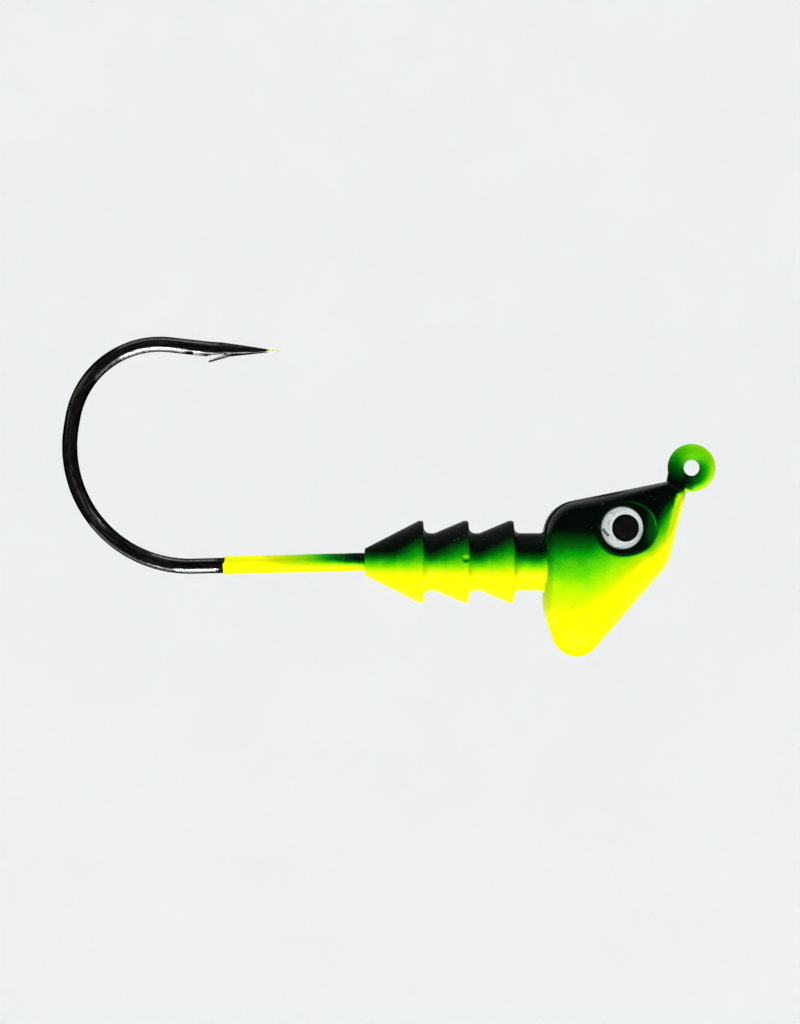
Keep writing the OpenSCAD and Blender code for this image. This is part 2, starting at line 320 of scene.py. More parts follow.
def powderPaint(look):
    material, tree, shader = newMaterial("powder_paint_black_green_yellow")
    place = millimetres(tree)
    spray_and_painted_light = attributeNode(tree, "spray_and_painted_light").outputs["Fac"]
    drift = mathNode(tree, "MULTIPLY_ADD", noiseNode(tree, place, 0.55, 3.0), 0.16, -0.08)
    grain = mathNode(tree, "MULTIPLY_ADD", noiseNode(tree, place, 9.0, 2.0), 0.10, -0.05)
    # the airbrush's grain only shows inside the blends
    inside = mathNode(tree, "MULTIPLY", spray_and_painted_light, mathNode(tree, "SUBTRACT", 1.0, spray_and_painted_light))
    inside = mathNode(tree, "MULTIPLY", inside, 4.0)
    shake = mathNode(tree, "MULTIPLY", mathNode(tree, "ADD", drift, grain), inside)
    tone = mathNode(tree, "ADD", spray_and_painted_light, shake, clamp=True)
    colour = rampNode(tree, tone, look["stops"])
    # painted glow: emission strength by tone
    glow = rampNode(tree, tone, look["glow"])
    # dust nibs and rubbed spots
    nibs = noiseNode(tree, place, 3.3, 1.0, 0.4)
    nib = mathNode(tree, "MULTIPLY", ramped(tree, nibs, 0.735, 0.75), look["dust"])
    rub = noiseNode(tree, place, 1.1, 5.0, 0.65)
    dusted = mixNode(tree, nib, colour, look["dustColour"])
    tree.links.new(dusted, shader.inputs["Base Color"])
    tree.links.new(dusted, shader.inputs["Emission Color"])
    tree.links.new(glow, shader.inputs["Emission Strength"])
    rough = mathNode(tree, "MULTIPLY_ADD", rub, 0.20, look["roughness"] - 0.09)
    tree.links.new(rough, shader.inputs["Roughness"])
    shader.inputs["IOR"].default_value = 1.5
    shader.inputs["Specular IOR Level"].default_value = look["shine"]
    shader.inputs["Specular Tint"].default_value = (*look["sheen"], 1.0)
    # orange peel, then the mould's parting line down the middle plane
    peel = noiseNode(tree, place, 1.7, 2.0, 0.5, 0.3)
    fine = noiseNode(tree, place, 11.0, 1.0)
    height = mathNode(tree, "MULTIPLY_ADD", fine, 0.12, peel)
    bumped = bumpNode(tree, height, look["orangePeel"] * mm)
    off = mathNode(tree, "ABSOLUTE", splitNode(tree, place)["Y"])
    ridge = ramped(tree, off, 0.14, 0.03)
    bumped = bumpNode(tree, ridge, look["partingLine"] * mm, 0.7, bumped)
    tree.links.new(bumped, shader.inputs["Normal"])
    return material


def windowNode(tree, value, low, high, fade):
    # 1 between low and high, fading to 0 at both
    rise = ramped(tree, value, low, low + fade)
    return mathNode(tree, "MULTIPLY", rise, ramped(tree, value, high, high - fade))


nickelLook = {
    "dark": (0.0010, 0.0010, 0.0011),
    "mid": (0.011, 0.0105, 0.0105),
    "light": (0.070, 0.067, 0.065),
    "brown": (0.006, 0.003, 0.0025),
    "edge": (0.08, 0.08, 0.085),
    "roughness": 0.13,
    "drawnLines": 0.010,  # depth of the lines from the drawing die
    "hammered": 0.015,
    "fleck": (0.62, 0.70, 0.10),  # stray paint on the point
    "bare": (0.52, 0.53, 0.52),  # bright steel where the barb was cut, also the colour of the painted highlight streaks along the wire
    # painted highlight streaks standing in for the lamps' reflections on the wire: from and to along the
    # wire, from and to across it, strength
    "highlightStreaks": [
        (78.9, 86.0, -0.92, -0.32, 1.0),
        (75.6, 79.6, -0.90, -0.45, 0.22),
        (48.0, 52.4, 0.30, 0.84, 1.0),
        (51.5, 61.5, 0.52, 0.92, 0.24),
        (48.0, 55.0, -0.95, -0.60, 0.16),
        (79.0, 89.2, 0.50, 0.92, 0.07),
        (62.0, 72.0, -0.20, 0.15, 0.02),
    ],
}


def blackNickel(look):
    material, tree, shader = newMaterial("black_nickel_wire")
    place = millimetres(tree)
    ring = attributeNode(tree, "ring").outputs["Vector"]
    along = attributeNode(tree, "along").outputs["Fac"]
    around = splitNode(tree, ring)
    drawn = tree.nodes.new("ShaderNodeCombineXYZ")
    tree.links.new(mathNode(tree, "MULTIPLY", along, 0.09), drawn.inputs[0])
    tree.links.new(around["X"], drawn.inputs[1])
    tree.links.new(around["Y"], drawn.inputs[2])
    streaky = noiseNode(tree, drawn.outputs[0], 1.6, 3.0, 0.55, 0.2)
    lines = noiseNode(tree, drawn.outputs[0], 9.0, 3.0, 0.6)
    blotch = noiseNode(tree, place, 0.9, 4.0, 0.6)
    mix = mathNode(tree, "MULTIPLY_ADD", lines, 0.25, mathNode(tree, "MULTIPLY", streaky, 0.75))
    bands = ((0.38, "dark"), (0.47, "mid"), (0.53, "dark"), (0.64, "light"), (0.70, "mid"))
    colour = rampNode(tree, mix, [(share, look[name]) for share, name in bands])
    tint = mixNode(tree, ramped(tree, blotch, 0.52, 0.70), colour, look["brown"])
    fleck = attributeNode(tree, "fleck").outputs["Fac"]
    spots = noiseNode(tree, place, 5.0, 2.0)
    stain = mathNode(tree, "MULTIPLY", fleck, ramped(tree, spots, 0.36, 0.52))
    stained = mixNode(tree, stain, tint, look["fleck"])
    # bright steel in the cut, and the painted highlight on the barb's sliver
    bright = attributeNode(tree, "bare").outputs["Fac"]
    streakBreakup = ramped(tree, noiseNode(tree, place, 5.5, 2.0, 0.6), 0.34, 0.50)
    # painted highlights: bright streaks along the wire in place of the lamps' reflections, broken up by
    # noise
    for start, end, low, high, strength in look["highlightStreaks"]:
        length = windowNode(tree, along, start, end, 0.7)
        width = windowNode(tree, around["X"], low, high, 0.10)
        paintedStreak = mathNode(tree, "MULTIPLY", mathNode(tree, "MULTIPLY", length, width), streakBreakup)
        bright = mathNode(tree, "MAXIMUM", bright, mathNode(tree, "MULTIPLY", paintedStreak, strength))
    steelAndPaintedHighlights = mixNode(tree, bright, stained, look["bare"])
    tree.links.new(steelAndPaintedHighlights, shader.inputs["Base Color"])
    tree.links.new(mathNode(tree, "MULTIPLY_ADD", stain, -0.95, 1.0), shader.inputs["Metallic"])
    rough = mathNode(tree, "MULTIPLY_ADD", blotch, 0.16, look["roughness"] - 0.06)
    tree.links.new(rough, shader.inputs["Roughness"])
    shader.inputs["Specular Tint"].default_value = (*look["edge"], 1.0)
    bumped = bumpNode(tree, lines, look["drawnLines"] * mm, 0.8)
    bumped = bumpNode(tree, blotch, look["hammered"] * mm, 0.6, bumped)
    tree.links.new(bumped, shader.inputs["Normal"])
    return material


def spotNode(tree, place, centre, inner, outer):
    # 1 within inner millimetres of a point seen from the side, 0 beyond outer
    flat = tree.nodes.new("ShaderNodeVectorMath")
    flat.operation = "MULTIPLY"
    flat.inputs[1].default_value = (1.0, 0.0, 1.0)
    tree.links.new(place, flat.inputs[0])
    gap = tree.nodes.new("ShaderNodeVectorMath")
    gap.operation = "DISTANCE"
    gap.inputs[1].default_value = (centre[0], 0.0, centre[1])
    tree.links.new(flat.outputs[0], gap.inputs[0])
    return ramped(tree, gap.outputs["Value"], outer, inner)


def castLead():
    material, tree, shader = newMaterial("cast_lead")
    place = millimetres(tree)
    cloud = noiseNode(tree, place, 0.8, 6.0, 0.65)
    pits = noiseNode(tree, place, 4.5, 3.0, 0.5)
    greys = [(0.3, (0.16, 0.17, 0.18)), (0.55, (0.33, 0.34, 0.35)), (0.75, (0.48, 0.48, 0.47))]
    colour = rampNode(tree, cloud, greys)
    tree.links.new(colour, shader.inputs["Base Color"])
    shader.inputs["Metallic"].default_value = 0.9
    tree.links.new(mathNode(tree, "MULTIPLY_ADD", cloud, 0.4, 0.28), shader.inputs["Roughness"])
    tree.links.new(bumpNode(tree, pits, 0.03 * mm, 0.8), shader.inputs["Normal"])
    return material


def adhesivePad():
    material, tree, shader = newMaterial("adhesive_pad")
    place = millimetres(tree)
    cells = noiseNode(tree, place, 7.0, 4.0, 0.6)
    tree.links.new(
        rampNode(tree, cells, [(0.35, (0.58, 0.58, 0.53)), (0.65, (0.80, 0.80, 0.75))]),
        shader.inputs["Base Color"],
    )
    tree.links.new(mathNode(tree, "MULTIPLY_ADD", cells, 0.3, 0.5), shader.inputs["Roughness"])
    tree.links.new(bumpNode(tree, cells, 0.01 * mm), shader.inputs["Normal"])
    return material


foilLook = {
    "silver": [(0.36, (0.45, 0.50, 0.48)), (0.47, (0.90, 0.93, 0.92)), (0.62, (1.0, 1.0, 1.0))],
    "creases": ((-8.64, -5.88), (-8.44, -6.10), (-8.24, -6.32)),  # x and z of the dark spots
    "darkSpotColour": (0.02, 0.03, 0.03),
    "greenReflection": (-5.15, -6.45),  # where a painted reflection of the paint's green shows in the foil
    "greenReflectionColour": (0.30, 0.50, 0.42),
    "shadedEdge": (1.84, 1.97),  # radii between which the foil's edge is painted dark as shade
    "edgeShadeColour": (0.03, 0.05, 0.04),
}


def silverFoil(look):
    material, tree, shader = newMaterial("silver_foil")
    place = millimetres(tree)
    creases = noiseNode(tree, place, 1.6, 4.0, 0.6, 0.6)
    fine = noiseNode(tree, place, 16.0, 3.0, 0.6)
    crinkle = mathNode(tree, "MULTIPLY_ADD", fine, 0.4, mathNode(tree, "MULTIPLY", creases, 0.6))
    colour = rampNode(tree, crinkle, look["silver"])
    # a dark spot at the lower back of each foil, a painted reflection of the green paint at its lower front,
    # and painted shade along its edge
    for spot in look["creases"]:
        colour = mixNode(tree, spotNode(tree, place, spot, 0.05, 0.24), colour, look["darkSpotColour"])
    greenReflection = spotNode(tree, place, look["greenReflection"], 0.2, 1.0)
    colour = mixNode(tree, mathNode(tree, "MULTIPLY", greenReflection, 0.45), colour, look["greenReflectionColour"])
    # painted shade: the foil is darkened beyond the inner radius of its edge
    disc = spotNode(tree, place, (-eye["back"], -eye["drop"]), *look["shadedEdge"])
    cut = mathNode(tree, "SUBTRACT", 1.0, disc)
    colour = mixNode(tree, mathNode(tree, "MULTIPLY", cut, 0.9), colour, look["edgeShadeColour"])
    tree.links.new(colour, shader.inputs["Base Color"])
    shader.inputs["Metallic"].default_value = 0.45
    tree.links.new(mathNode(tree, "MULTIPLY_ADD", creases, 0.35, 0.22), shader.inputs["Roughness"])
    tree.links.new(bumpNode(tree, creases, 0.05 * mm, 0.7), shader.inputs["Normal"])
    return material


def pupilInk():
    material, tree, shader = newMaterial("pupil_ink")
    place = millimetres(tree)
    dots = noiseNode(tree, place, 12.0, 2.0)
    tree.links.new(
        rampNode(tree, dots, [(0.3, (0.0004, 0.0004, 0.0004)), (0.7, (0.002, 0.002, 0.002))]),
        shader.inputs["Base Color"],
    )
    tree.links.new(mathNode(tree, "MULTIPLY_ADD", dots, 0.2, 0.45), shader.inputs["Roughness"])
    shader.inputs["Specular IOR Level"].default_value = 0.03
    tree.links.new(bumpNode(tree, dots, 0.004 * mm), shader.inputs["Normal"])
    return material


def clearEpoxy():
    material, tree, shader = newMaterial("clear_epoxy")
    place = millimetres(tree)
    haze = noiseNode(tree, place, 2.2, 4.0, 0.6)
    tree.links.new(
        rampNode(tree, haze, [(0.3, (0.93, 0.96, 0.94)), (0.7, (0.99, 1.0, 0.99))]),
        shader.inputs["Base Color"],
    )
    tree.links.new(ramped(tree, haze, 0.66, 0.78), shader.inputs["Roughness"])
    shader.inputs["Transmission Weight"].default_value = 1.0
    shader.inputs["IOR"].default_value = 1.36
    shader.inputs["Specular IOR Level"].default_value = 0.10
    shader.inputs["Specular Tint"].default_value = (0.12, 0.14, 0.14, 1.0)
    tree.links.new(bumpNode(tree, haze, 0.006 * mm, 0.5), shader.inputs["Normal"])
    return material


paint = powderPaint(paintLook)
nickel = blackNickel(nickelLook)
lead = castLead()
adhesive = adhesivePad()
foil = silverFoil(foilLook)
ink = pupilInk()
epoxy = clearEpoxy()
print("materials made")

tie = {
    "ringR": 1.50,  # to the middle of the ring's wire
    "wireD": 1.30,
    "coat": 0.13,
    "heading": 238.0,  # direction of the neck, in degrees
    "neckR": 3.0,
    "shankDrop": 8.94,
    "cutEnd": ((-1.46, -0.16), (-1.72, -1.55)),  # run of the ring wire's cut end
    "cutD": 1.42,
    "holeR": 0.76,  # left by the clearing pin
}
wire = {
    "wireD": 1.45,
    "lean": 1.46,  # the shank's slight bend behind the keeper, in degrees
    "leanR": 40.0,
    "free": 15.46,  # straight shank before the round bend
    "lowR": 11.4,
    "lowTurn": 101.2,
    "flat": 0.8,  # short straight between the bend's two radii
    "topR": 8.4,
    "topTurn": 86.7,
    "spear": 3.5,
    "setR": 15.0,
    "set": 5.3,  # the point's turn out again, in degrees
    "sides": 40,
}
head = {
    "back": 13.9,
    "noseReach": 2.35,
    "noseOver": 1.10,
    "noseUnder": 0.63,
    "brow": 11.5,
    "faceH": 6.8,
    "faceA": 75.8,
    "jawH": 10.7,
    "jawA": 48.4,
    "backH": 9.7,
    "cornerR": (3.2, 0.4, 0.5, 3.8, 2.1, 8.0),
    "edgeW": (0.9, 0.7, 0.8, 2.6, 4.2, 1.0),
    "half": 4.4,
    "noseTaper": 0.58,
    "chinTaper": 0.66,
    "fullness": 2.25,  # 2 is an elliptical edge, more is squarer
    "rings": 34,  # of points, from the eye's boss out to the parting plane
}
keeper = {
    "length": 17.02,
    "coreD": 5.2,
    "barbD": 7.56,
    "tailD": 2.28,
    "firstRim": 3.4,
    "pitch": 4.28,
    "barbs": 3,
    "coneRun": 2.85,
    "rimW": 0.28,
    "rootR": 0.75,
    "pip": (-21.5, -8.6, 0.40, 0.30),  # x, z, radius and height of the mould's pip
}
shank = {
    "painted": 13.6,  # length of painted wire behind the keeper
    "bead": 0.05,
    "beadW": 0.22,
    "ragged": 0.30,
    "fine": 1.2,  # length of the finely meshed end
}
coat = tie["coat"]
headingRad = math.radians(tie["heading"])
neckDir = np.array([math.cos(headingRad), math.sin(headingRad)])
noseDir = np.array([neckDir[1], -neckDir[0]])
neckAngle = tie["heading"] - 180.0
neckSin = math.sin(math.radians(neckAngle))
neckCos = math.cos(math.radians(neckAngle))
neckLen = (tie["shankDrop"] - tie["ringR"] * neckSin - tie["neckR"] * (1 - neckCos)) / neckSin
keeperEnd = -head["back"] - keeper["length"]
neckFoot = -(tie["ringR"] + neckLen) * neckCos - tie["neckR"] * neckSin
hookRun = [
    (neckLen, 0),
    (tie["neckR"], -neckAngle),
    (neckFoot - keeperEnd, 0),
    (wire["leanR"], wire["lean"]),
    (wire["free"], 0),
    (wire["lowR"], -wire["lowTurn"]),
    (wire["flat"], 0),
    (wire["topR"], -wire["topTurn"]),
    (wire["spear"], 0),
    (wire["setR"], wire["set"]),
]


def walkRun(run, start, heading, step):
    # points [x, z] and headings along straights (length, 0) and bends (radius, turn)
    places = [np.array(start, float)]
    headings = [heading]
    for size, turn in run:
        here = places[-1]
        if turn == 0:
            count = max(1, math.ceil(size / (step * 3)))
            direction = np.array([math.cos(heading), math.sin(heading)])
            for k in range(1, count + 1):
                places.append(here + direction * size * k / count)
                headings.append(heading)
        else:
            angle = math.radians(turn)
            count = max(2, math.ceil(abs(angle) * size / step))
            side = math.copysign(1, angle)
            centre = here + side * size * np.array([-math.sin(heading), math.cos(heading)])
            for k in range(1, count + 1):
                now = heading + angle * k / count
                places.append(centre - side * size * np.array([-math.sin(now), math.cos(now)]))
                headings.append(now)
            heading += angle
    return np.array(places), np.array(headings)


ringFoot = neckDir * tie["ringR"]
hookPlaces, hookHeadings = walkRun(hookRun, ringFoot, headingRad, 0.22)
hookSteps = distancesAlong(hookPlaces)
spearEnd = hookPlaces[-1]
spearHeading = hookHeadings[-1]
keeperPlace = np.array([keeperEnd, -tie["shankDrop"]])


def newTree(name, inputs):
    tree = bpy.data.node_groups.new(name, "GeometryNodeTree")
    tree.interface.new_socket("Geometry", in_out="INPUT", socket_type="NodeSocketGeometry")
    for label, kind, value in inputs:
        socket = tree.interface.new_socket(label, in_out="INPUT", socket_type=kind)
        if value is not None:
            socket.default_value = value
    tree.interface.new_socket("Geometry", in_out="OUTPUT", socket_type="NodeSocketGeometry")
    source = tree.nodes.new("NodeGroupInput")
    target = tree.nodes.new("NodeGroupOutput")
    return tree, source, target


def storeNode(tree, geometry, name, kind, value):
    node = tree.nodes.new("GeometryNodeStoreNamedAttribute")
    node.data_type = kind
    node.domain = "POINT"
    node.inputs["Name"].default_value = name
    tree.links.new(geometry, node.inputs["Geometry"])
    tree.links.new(value, node.inputs["Value"])
    return node.outputs[0]


def endNodes(tree, geometry, source, target):
    shade = tree.nodes.new("GeometryNodeSetShadeSmooth")
    realize = tree.nodes.new("GeometryNodeRealizeInstances")
    coatNode = tree.nodes.new("GeometryNodeSetMaterial")
    tree.links.new(geometry, shade.inputs["Geometry"])
    tree.links.new(shade.outputs[0], realize.inputs["Geometry"])
    tree.links.new(realize.outputs[0], coatNode.inputs["Geometry"])
    tree.links.new(source.outputs["Material"], coatNode.inputs["Material"])
    tree.links.new(coatNode.outputs[0], target.inputs[0])


def drawnWireTree():
    # round wire drawn along the path, with its length and its way round kept for the plating
    tree, source, target = newTree(
        "drawn_wire",
        [
            ("Wire Diameter", "NodeSocketFloat", 1.45),
            ("Sides", "NodeSocketInt", 40),
            ("Material", "NodeSocketMaterial", None),
        ],
    )
    toCurve = tree.nodes.new("GeometryNodeMeshToCurve")
    tree.links.new(source.outputs["Geometry"], toCurve.inputs[0])
    lengthNode = tree.nodes.new("GeometryNodeSplineParameter")
    path = storeNode(tree, toCurve.outputs[0], "along", "FLOAT", lengthNode.outputs["Length"])
    half = mathNode(tree, "MULTIPLY", source.outputs["Wire Diameter"], 0.5)
    circle = tree.nodes.new("GeometryNodeCurvePrimitiveCircle")
    tree.links.new(source.outputs["Sides"], circle.inputs["Resolution"])
    tree.links.new(half, circle.inputs["Radius"])
    position = tree.nodes.new("GeometryNodeInputPosition")
    unit = tree.nodes.new("ShaderNodeVectorMath")
    unit.operation = "NORMALIZE"
    tree.links.new(position.outputs[0], unit.inputs[0])
    profile = storeNode(tree, circle.outputs[0], "ring", "FLOAT_VECTOR", unit.outputs[0])
    sweep = tree.nodes.new("GeometryNodeCurveToMesh")
    sweep.inputs["Fill Caps"].default_value = True
    tree.links.new(path, sweep.inputs["Curve"])
    tree.links.new(profile, sweep.inputs["Profile Curve"])
    endNodes(tree, sweep.outputs[0], source, target)
    return tree


def turnedTree():
    # a body of revolution: each point of the axis carries its own radius
    tree, source, target = newTree(
        "turned_on_axis",
        [
            ("Sides", "NodeSocketInt", 120),
            ("Growth", "NodeSocketFloat", 0.0),
            ("Material", "NodeSocketMaterial", None),
        ],
    )
    toCurve = tree.nodes.new("GeometryNodeMeshToCurve")
    tree.links.new(source.outputs["Geometry"], toCurve.inputs[0])
    circle = tree.nodes.new("GeometryNodeCurvePrimitiveCircle")
    tree.links.new(source.outputs["Sides"], circle.inputs["Resolution"])
    circle.inputs["Radius"].default_value = 1.0
    radius = tree.nodes.new("GeometryNodeInputNamedAttribute")
    radius.inputs["Name"].default_value = "turnRadius"
    grown = mathNode(tree, "ADD", radius.outputs[0], source.outputs["Growth"])
    sweep = tree.nodes.new("GeometryNodeCurveToMesh")
    sweep.inputs["Fill Caps"].default_value = True
    tree.links.new(toCurve.outputs[0], sweep.inputs["Curve"])
    tree.links.new(circle.outputs[0], sweep.inputs["Profile Curve"])
    tree.links.new(grown, sweep.inputs["Scale"])
    endNodes(tree, sweep.outputs[0], source, target)
    return tree


drawnWire = drawnWireTree()
turned = turnedTree()


def pathObject(name, places, closed=False):
    mesh = bpy.data.meshes.new(name)
    count = len(places)
    edges = [(k, k + 1) for k in range(count - 1)]
    if closed:
        edges.append((count - 1, 0))
    mesh.from_pydata([(p[0], 0.0, p[1]) for p in places], edges, [])
    return objectFrom(name, mesh)


def runTree(piece, tree, values):
    modifier = piece.modifiers.new(tree.name, "NODES")
    modifier.node_group = tree
    for item in tree.interface.items_tree:
        if item.in_out == "INPUT" and item.name in values:
            modifier[item.identifier] = values[item.name]
    bpy.context.view_layer.update()
    return frozen(piece)


def sweepWire(name, places, diameter, material, sides, closed=False):
    piece = pathObject(name, places, closed)
    values = {"Wire Diameter": diameter, "Sides": sides, "Material": material}
    return runTree(piece, drawnWire, values)


point = {
    "length": 5.6,
    "tipD": 0.08,
    "facetFrom": 0.30,  # share of the length where the ground facets begin
    "facets": 5,
    "belly": 0.12,  # fullness of the taper
    "barbLen": 2.4,
    "barbLift": 0.48,
    "barbCut": 0.38,
    "barbW": 0.9,
    "barbFrom": -2.6,  # reach of the cut block, measured from the point's root
    "barbTo": 1.45,
    "lap": 0.02,  # each length of wire runs this far into the next
    "fleckFrom": 4.2,  # stray paint from here to the tip
}


def atPoint(x, y, z=0.0):
    # from the frame of the point, x towards the tip and -y towards the shank, to the part's frame
    c, s = math.cos(spearHeading), math.sin(spearHeading)
    return (spearEnd[0] + x * c - y * s, -z, spearEnd[1] + x * s + y * c)


def prism(outline, halfWidth):
    # a closed prism over an outline in the frame of the point
    count = len(outline)
    points = [atPoint(x, y, -halfWidth) for x, y in outline] + [atPoint(x, y, halfWidth) for x, y in outline]
    faces = [tuple(range(count))[::-1], tuple(range(count, 2 * count))]
    faces += [(k, (k + 1) % count, count + (k + 1) % count, count + k) for k in range(count)]
    mesh = meshFrom("prism", points, faces)
    tidyMesh(mesh)
    return objectFrom("prism", mesh)


def addBoolean(piece, other, operation, keep=False):
    modifier = piece.modifiers.new(operation.lower(), "BOOLEAN")
    modifier.operation = operation
    modifier.solver = "EXACT"
    modifier.object = other
    frozen(piece)
    if not keep:
        bpy.data.objects.remove(other)


def joined(piece, *others):
    # the others' skins laid into the piece's mesh; remeshing makes them one
    work = bmesh.new()
    work.from_mesh(piece.data)
    for other in others:
        work.from_mesh(other.data)
        bpy.data.objects.remove(other)
    work.to_mesh(piece.data)
    work.free()


def remeshed(piece, voxel, passes):
    modifier = piece.modifiers.new("skin", "REMESH")
    modifier.mode = "VOXEL"
    modifier.voxel_size = voxel
    relax = piece.modifiers.new("relax", "SMOOTH")
    relax.factor = 0.5
    relax.iterations = passes
    return frozen(piece)


def nearestOnHook(at):
    # distance along the hook's wire and height over it, for points given as rows x, y, z
    farX = at[:, None, 0] - hookPlaces[None, :, 0]
    farZ = at[:, None, 2] - hookPlaces[None, :, 1]
    nearest = (farX**2 + farZ**2).argmin(1)
    heading = hookHeadings[nearest]
    rel = at[:, [0, 2]] - hookPlaces[nearest]
    forward = rel[:, 0] * np.cos(heading) + rel[:, 1] * np.sin(heading)
    up = rel[:, 1] * np.cos(heading) - rel[:, 0] * np.sin(heading)
    return hookSteps[nearest] + forward, up


def markWire(mesh, fleckFrom=None):
    # the length along the wire and the way round it, with the bends' outside at ring's x
    at = vertexArray(mesh)
    along, up = nearestOnHook(at)
    storeTone(mesh, "along", along)
    layer = mesh.attributes.get("ring") or mesh.attributes.new("ring", "FLOAT_VECTOR", "POINT")
    ring = np.stack([up, at[:, 1], np.zeros(len(at))], 1)
    ring /= np.maximum(np.linalg.norm(ring, axis=1), 1e-6)[:, None]
    layer.data.foreach_set("vector", ring.astype(np.float32).ravel())
    if fleckFrom is not None:
        ahead = fromPoint(at)[0]
        storeTone(mesh, "fleck", ramp01(fleckFrom, fleckFrom + 0.5, ahead))


def fromPoint(at):
    # from the part's frame back to the frame of the point
    c, s = math.cos(spearHeading), math.sin(spearHeading)
    rel = at[:, [0, 2]] - spearEnd
    return rel[:, 0] * c + rel[:, 1] * s, rel[:, 1] * c - rel[:, 0] * s


def markCut(mesh, tip):
    # bright steel inside the cut, and a painted highlight along the upper half of the raised sliver
    at = vertexArray(mesh)
    ahead, up = fromPoint(at)
    wireR = wire["wireD"] / 2
    inside = ramp01(wireR - 0.04, wireR - 0.12, np.hypot(up, at[:, 1])) * ramp01(0.45, 0.15, ahead)
    above = up - (tip[1] + (ahead - tip[0]) * 0.29)
    sliver = ramp01(0.06, 0.14, above) * ramp01(-wireR + 0.30, -wireR + 0.10, up) * ramp01(0.9, 0.5, ahead)
    sliver = sliver * ramp01(tip[0] - 0.1, tip[0] + 0.1, ahead)
    storeTone(mesh, "bare", np.maximum(inside, sliver))


def groundPoint(name, settings, start, end, rows, sides):
    # a closed length of the taper, in the frame of the point, from start to end
    wireR = wire["wireD"] / 2
    wedge = 2 * math.pi / settings["facets"]
    points = []
    for j in range(rows + 1):
        x = start + (end - start) * j / rows
        share = max(0.0, x / settings["length"])
        radius = wireR * (1 - share) * (1 + settings["belly"] * share * 4 * (1 - share) * share)
        radius = max(radius, settings["tipD"] / 2)
        flat = float(ramp01(settings["facetFrom"], settings["facetFrom"] + 0.25, share))
        for k in range(sides):
            a = 2 * math.pi * k / sides
            local = (a + wedge / 2) % wedge - wedge / 2
            cornered = math.cos(wedge / 2) / math.cos(local) * 1.10
            r = radius * (1 - flat + flat * min(cornered, 1.0))
            points.append(atPoint(x, r * math.sin(a), r * math.cos(a)))
    faces = tubeFaces(rows + 1, sides)
    points += [atPoint(start, 0, 0), atPoint(end + 0.01, 0, 0)]
    first, last = len(points) - 2, len(points) - 1
    for k in range(sides):
        faces.append((first, (k + 1) % sides, k))
        faces.append((last, rows * sides + k, rows * sides + (k + 1) % sides))
    mesh = meshFrom(name, points, faces)
    tidyMesh(mesh)
    return objectFrom(name, mesh)


def hookPlaceAt(distance):
    x = np.interp(distance, hookSteps, hookPlaces[:, 0])
    z = np.interp(distance, hookSteps, hookPlaces[:, 1])
    return np.array([x, z])


def ringPlaces(radius, count):
    turns = np.linspace(0, 2 * math.pi, count, endpoint=False)
    return [(radius * math.cos(a), radius * math.sin(a)) for a in turns]


def makeHook(settings):
    wireR = wire["wireD"] / 2
    lap = settings["lap"]
    # the bare wire stops where the barb's cut block begins
    stop = hookSteps[-1] + settings["barbFrom"]
    barPlaces = np.vstack([hookPlaces[hookSteps < stop - 0.05], hookPlaceAt(stop + lap)])
    bar = sweepWire("hook_wire", barPlaces, wire["wireD"], nickel, wire["sides"])
    tidyMesh(bar.data)
    markWire(bar.data)
    setPiece(bar, nickel, "black_nickel_wire", "hook")
    ring = sweepWire("hook_tie", ringPlaces(tie["ringR"], 96), tie["wireD"], nickel, 32, True)
    tidyMesh(ring.data)
    setPiece(ring, nickel, "black_nickel_wire", "hook")

    # the barb's block: a length of wire, notched, with the sliver raised out of it
    blockPlaces = np.vstack([hookPlaceAt(stop - lap), hookPlaces[hookSteps > stop + 0.05]])
    block = sweepWire("hook_barb", blockPlaces, wire["wireD"], nickel, 64)
    tidyMesh(block.data)
    taper = groundPoint("taper", settings, -lap, settings["barbTo"], 20, 64)
    root = settings["barbLen"] / 2
    tip = (root - settings["barbLen"], -wireR - settings["barbLift"])
    cut = (root - settings["barbLen"] * 0.28, -wireR + settings["barbCut"])
    notchEnd = tip[0] - settings["barbCut"] * 1.3
    notchOutline = [
        (notchEnd, -wireR - 0.02),
        (tip[0] + 0.3, -wireR + settings["barbCut"] * 0.62),
        cut,
        (cut[0], -wireR * 2),
        (notchEnd, -wireR * 2),
    ]
    notch = prism(notchOutline, 1.4)
    addBoolean(block, notch, "DIFFERENCE", True)
    addBoolean(taper, notch, "DIFFERENCE")
    sliverOutline = [
        tip,
        (tip[0] + 0.30, tip[1] + 0.05),
        (root, -wireR * 0.68),
        (root + 0.1, -wireR * 0.2),
        (cut[0] + settings["barbCut"] / 2, 0.0),
        (cut[0] - 0.02, cut[1] - 0.02),
        (tip[0] + 0.10, tip[1] + 0.17),
    ]
    sliver = prism(sliverOutline, settings["barbW"] / 2)
    joined(block, taper, sliver)
    remeshed(block, 0.034, 4)
    block.data.shade_smooth()
    markWire(block.data)
    markCut(block.data, tip)
    setPiece(block, nickel, "black_nickel_wire", "hook")

    # the ground point: round at its root, five flats and a needle tip further on
    needle = groundPoint("hook_point", settings, settings["barbTo"] - 1.5 * lap, settings["length"], 60, 50)
    markWire(needle.data, settings["fleckFrom"])
    setPiece(needle, nickel, "black_nickel_wire", "hook")


makeHook(point)

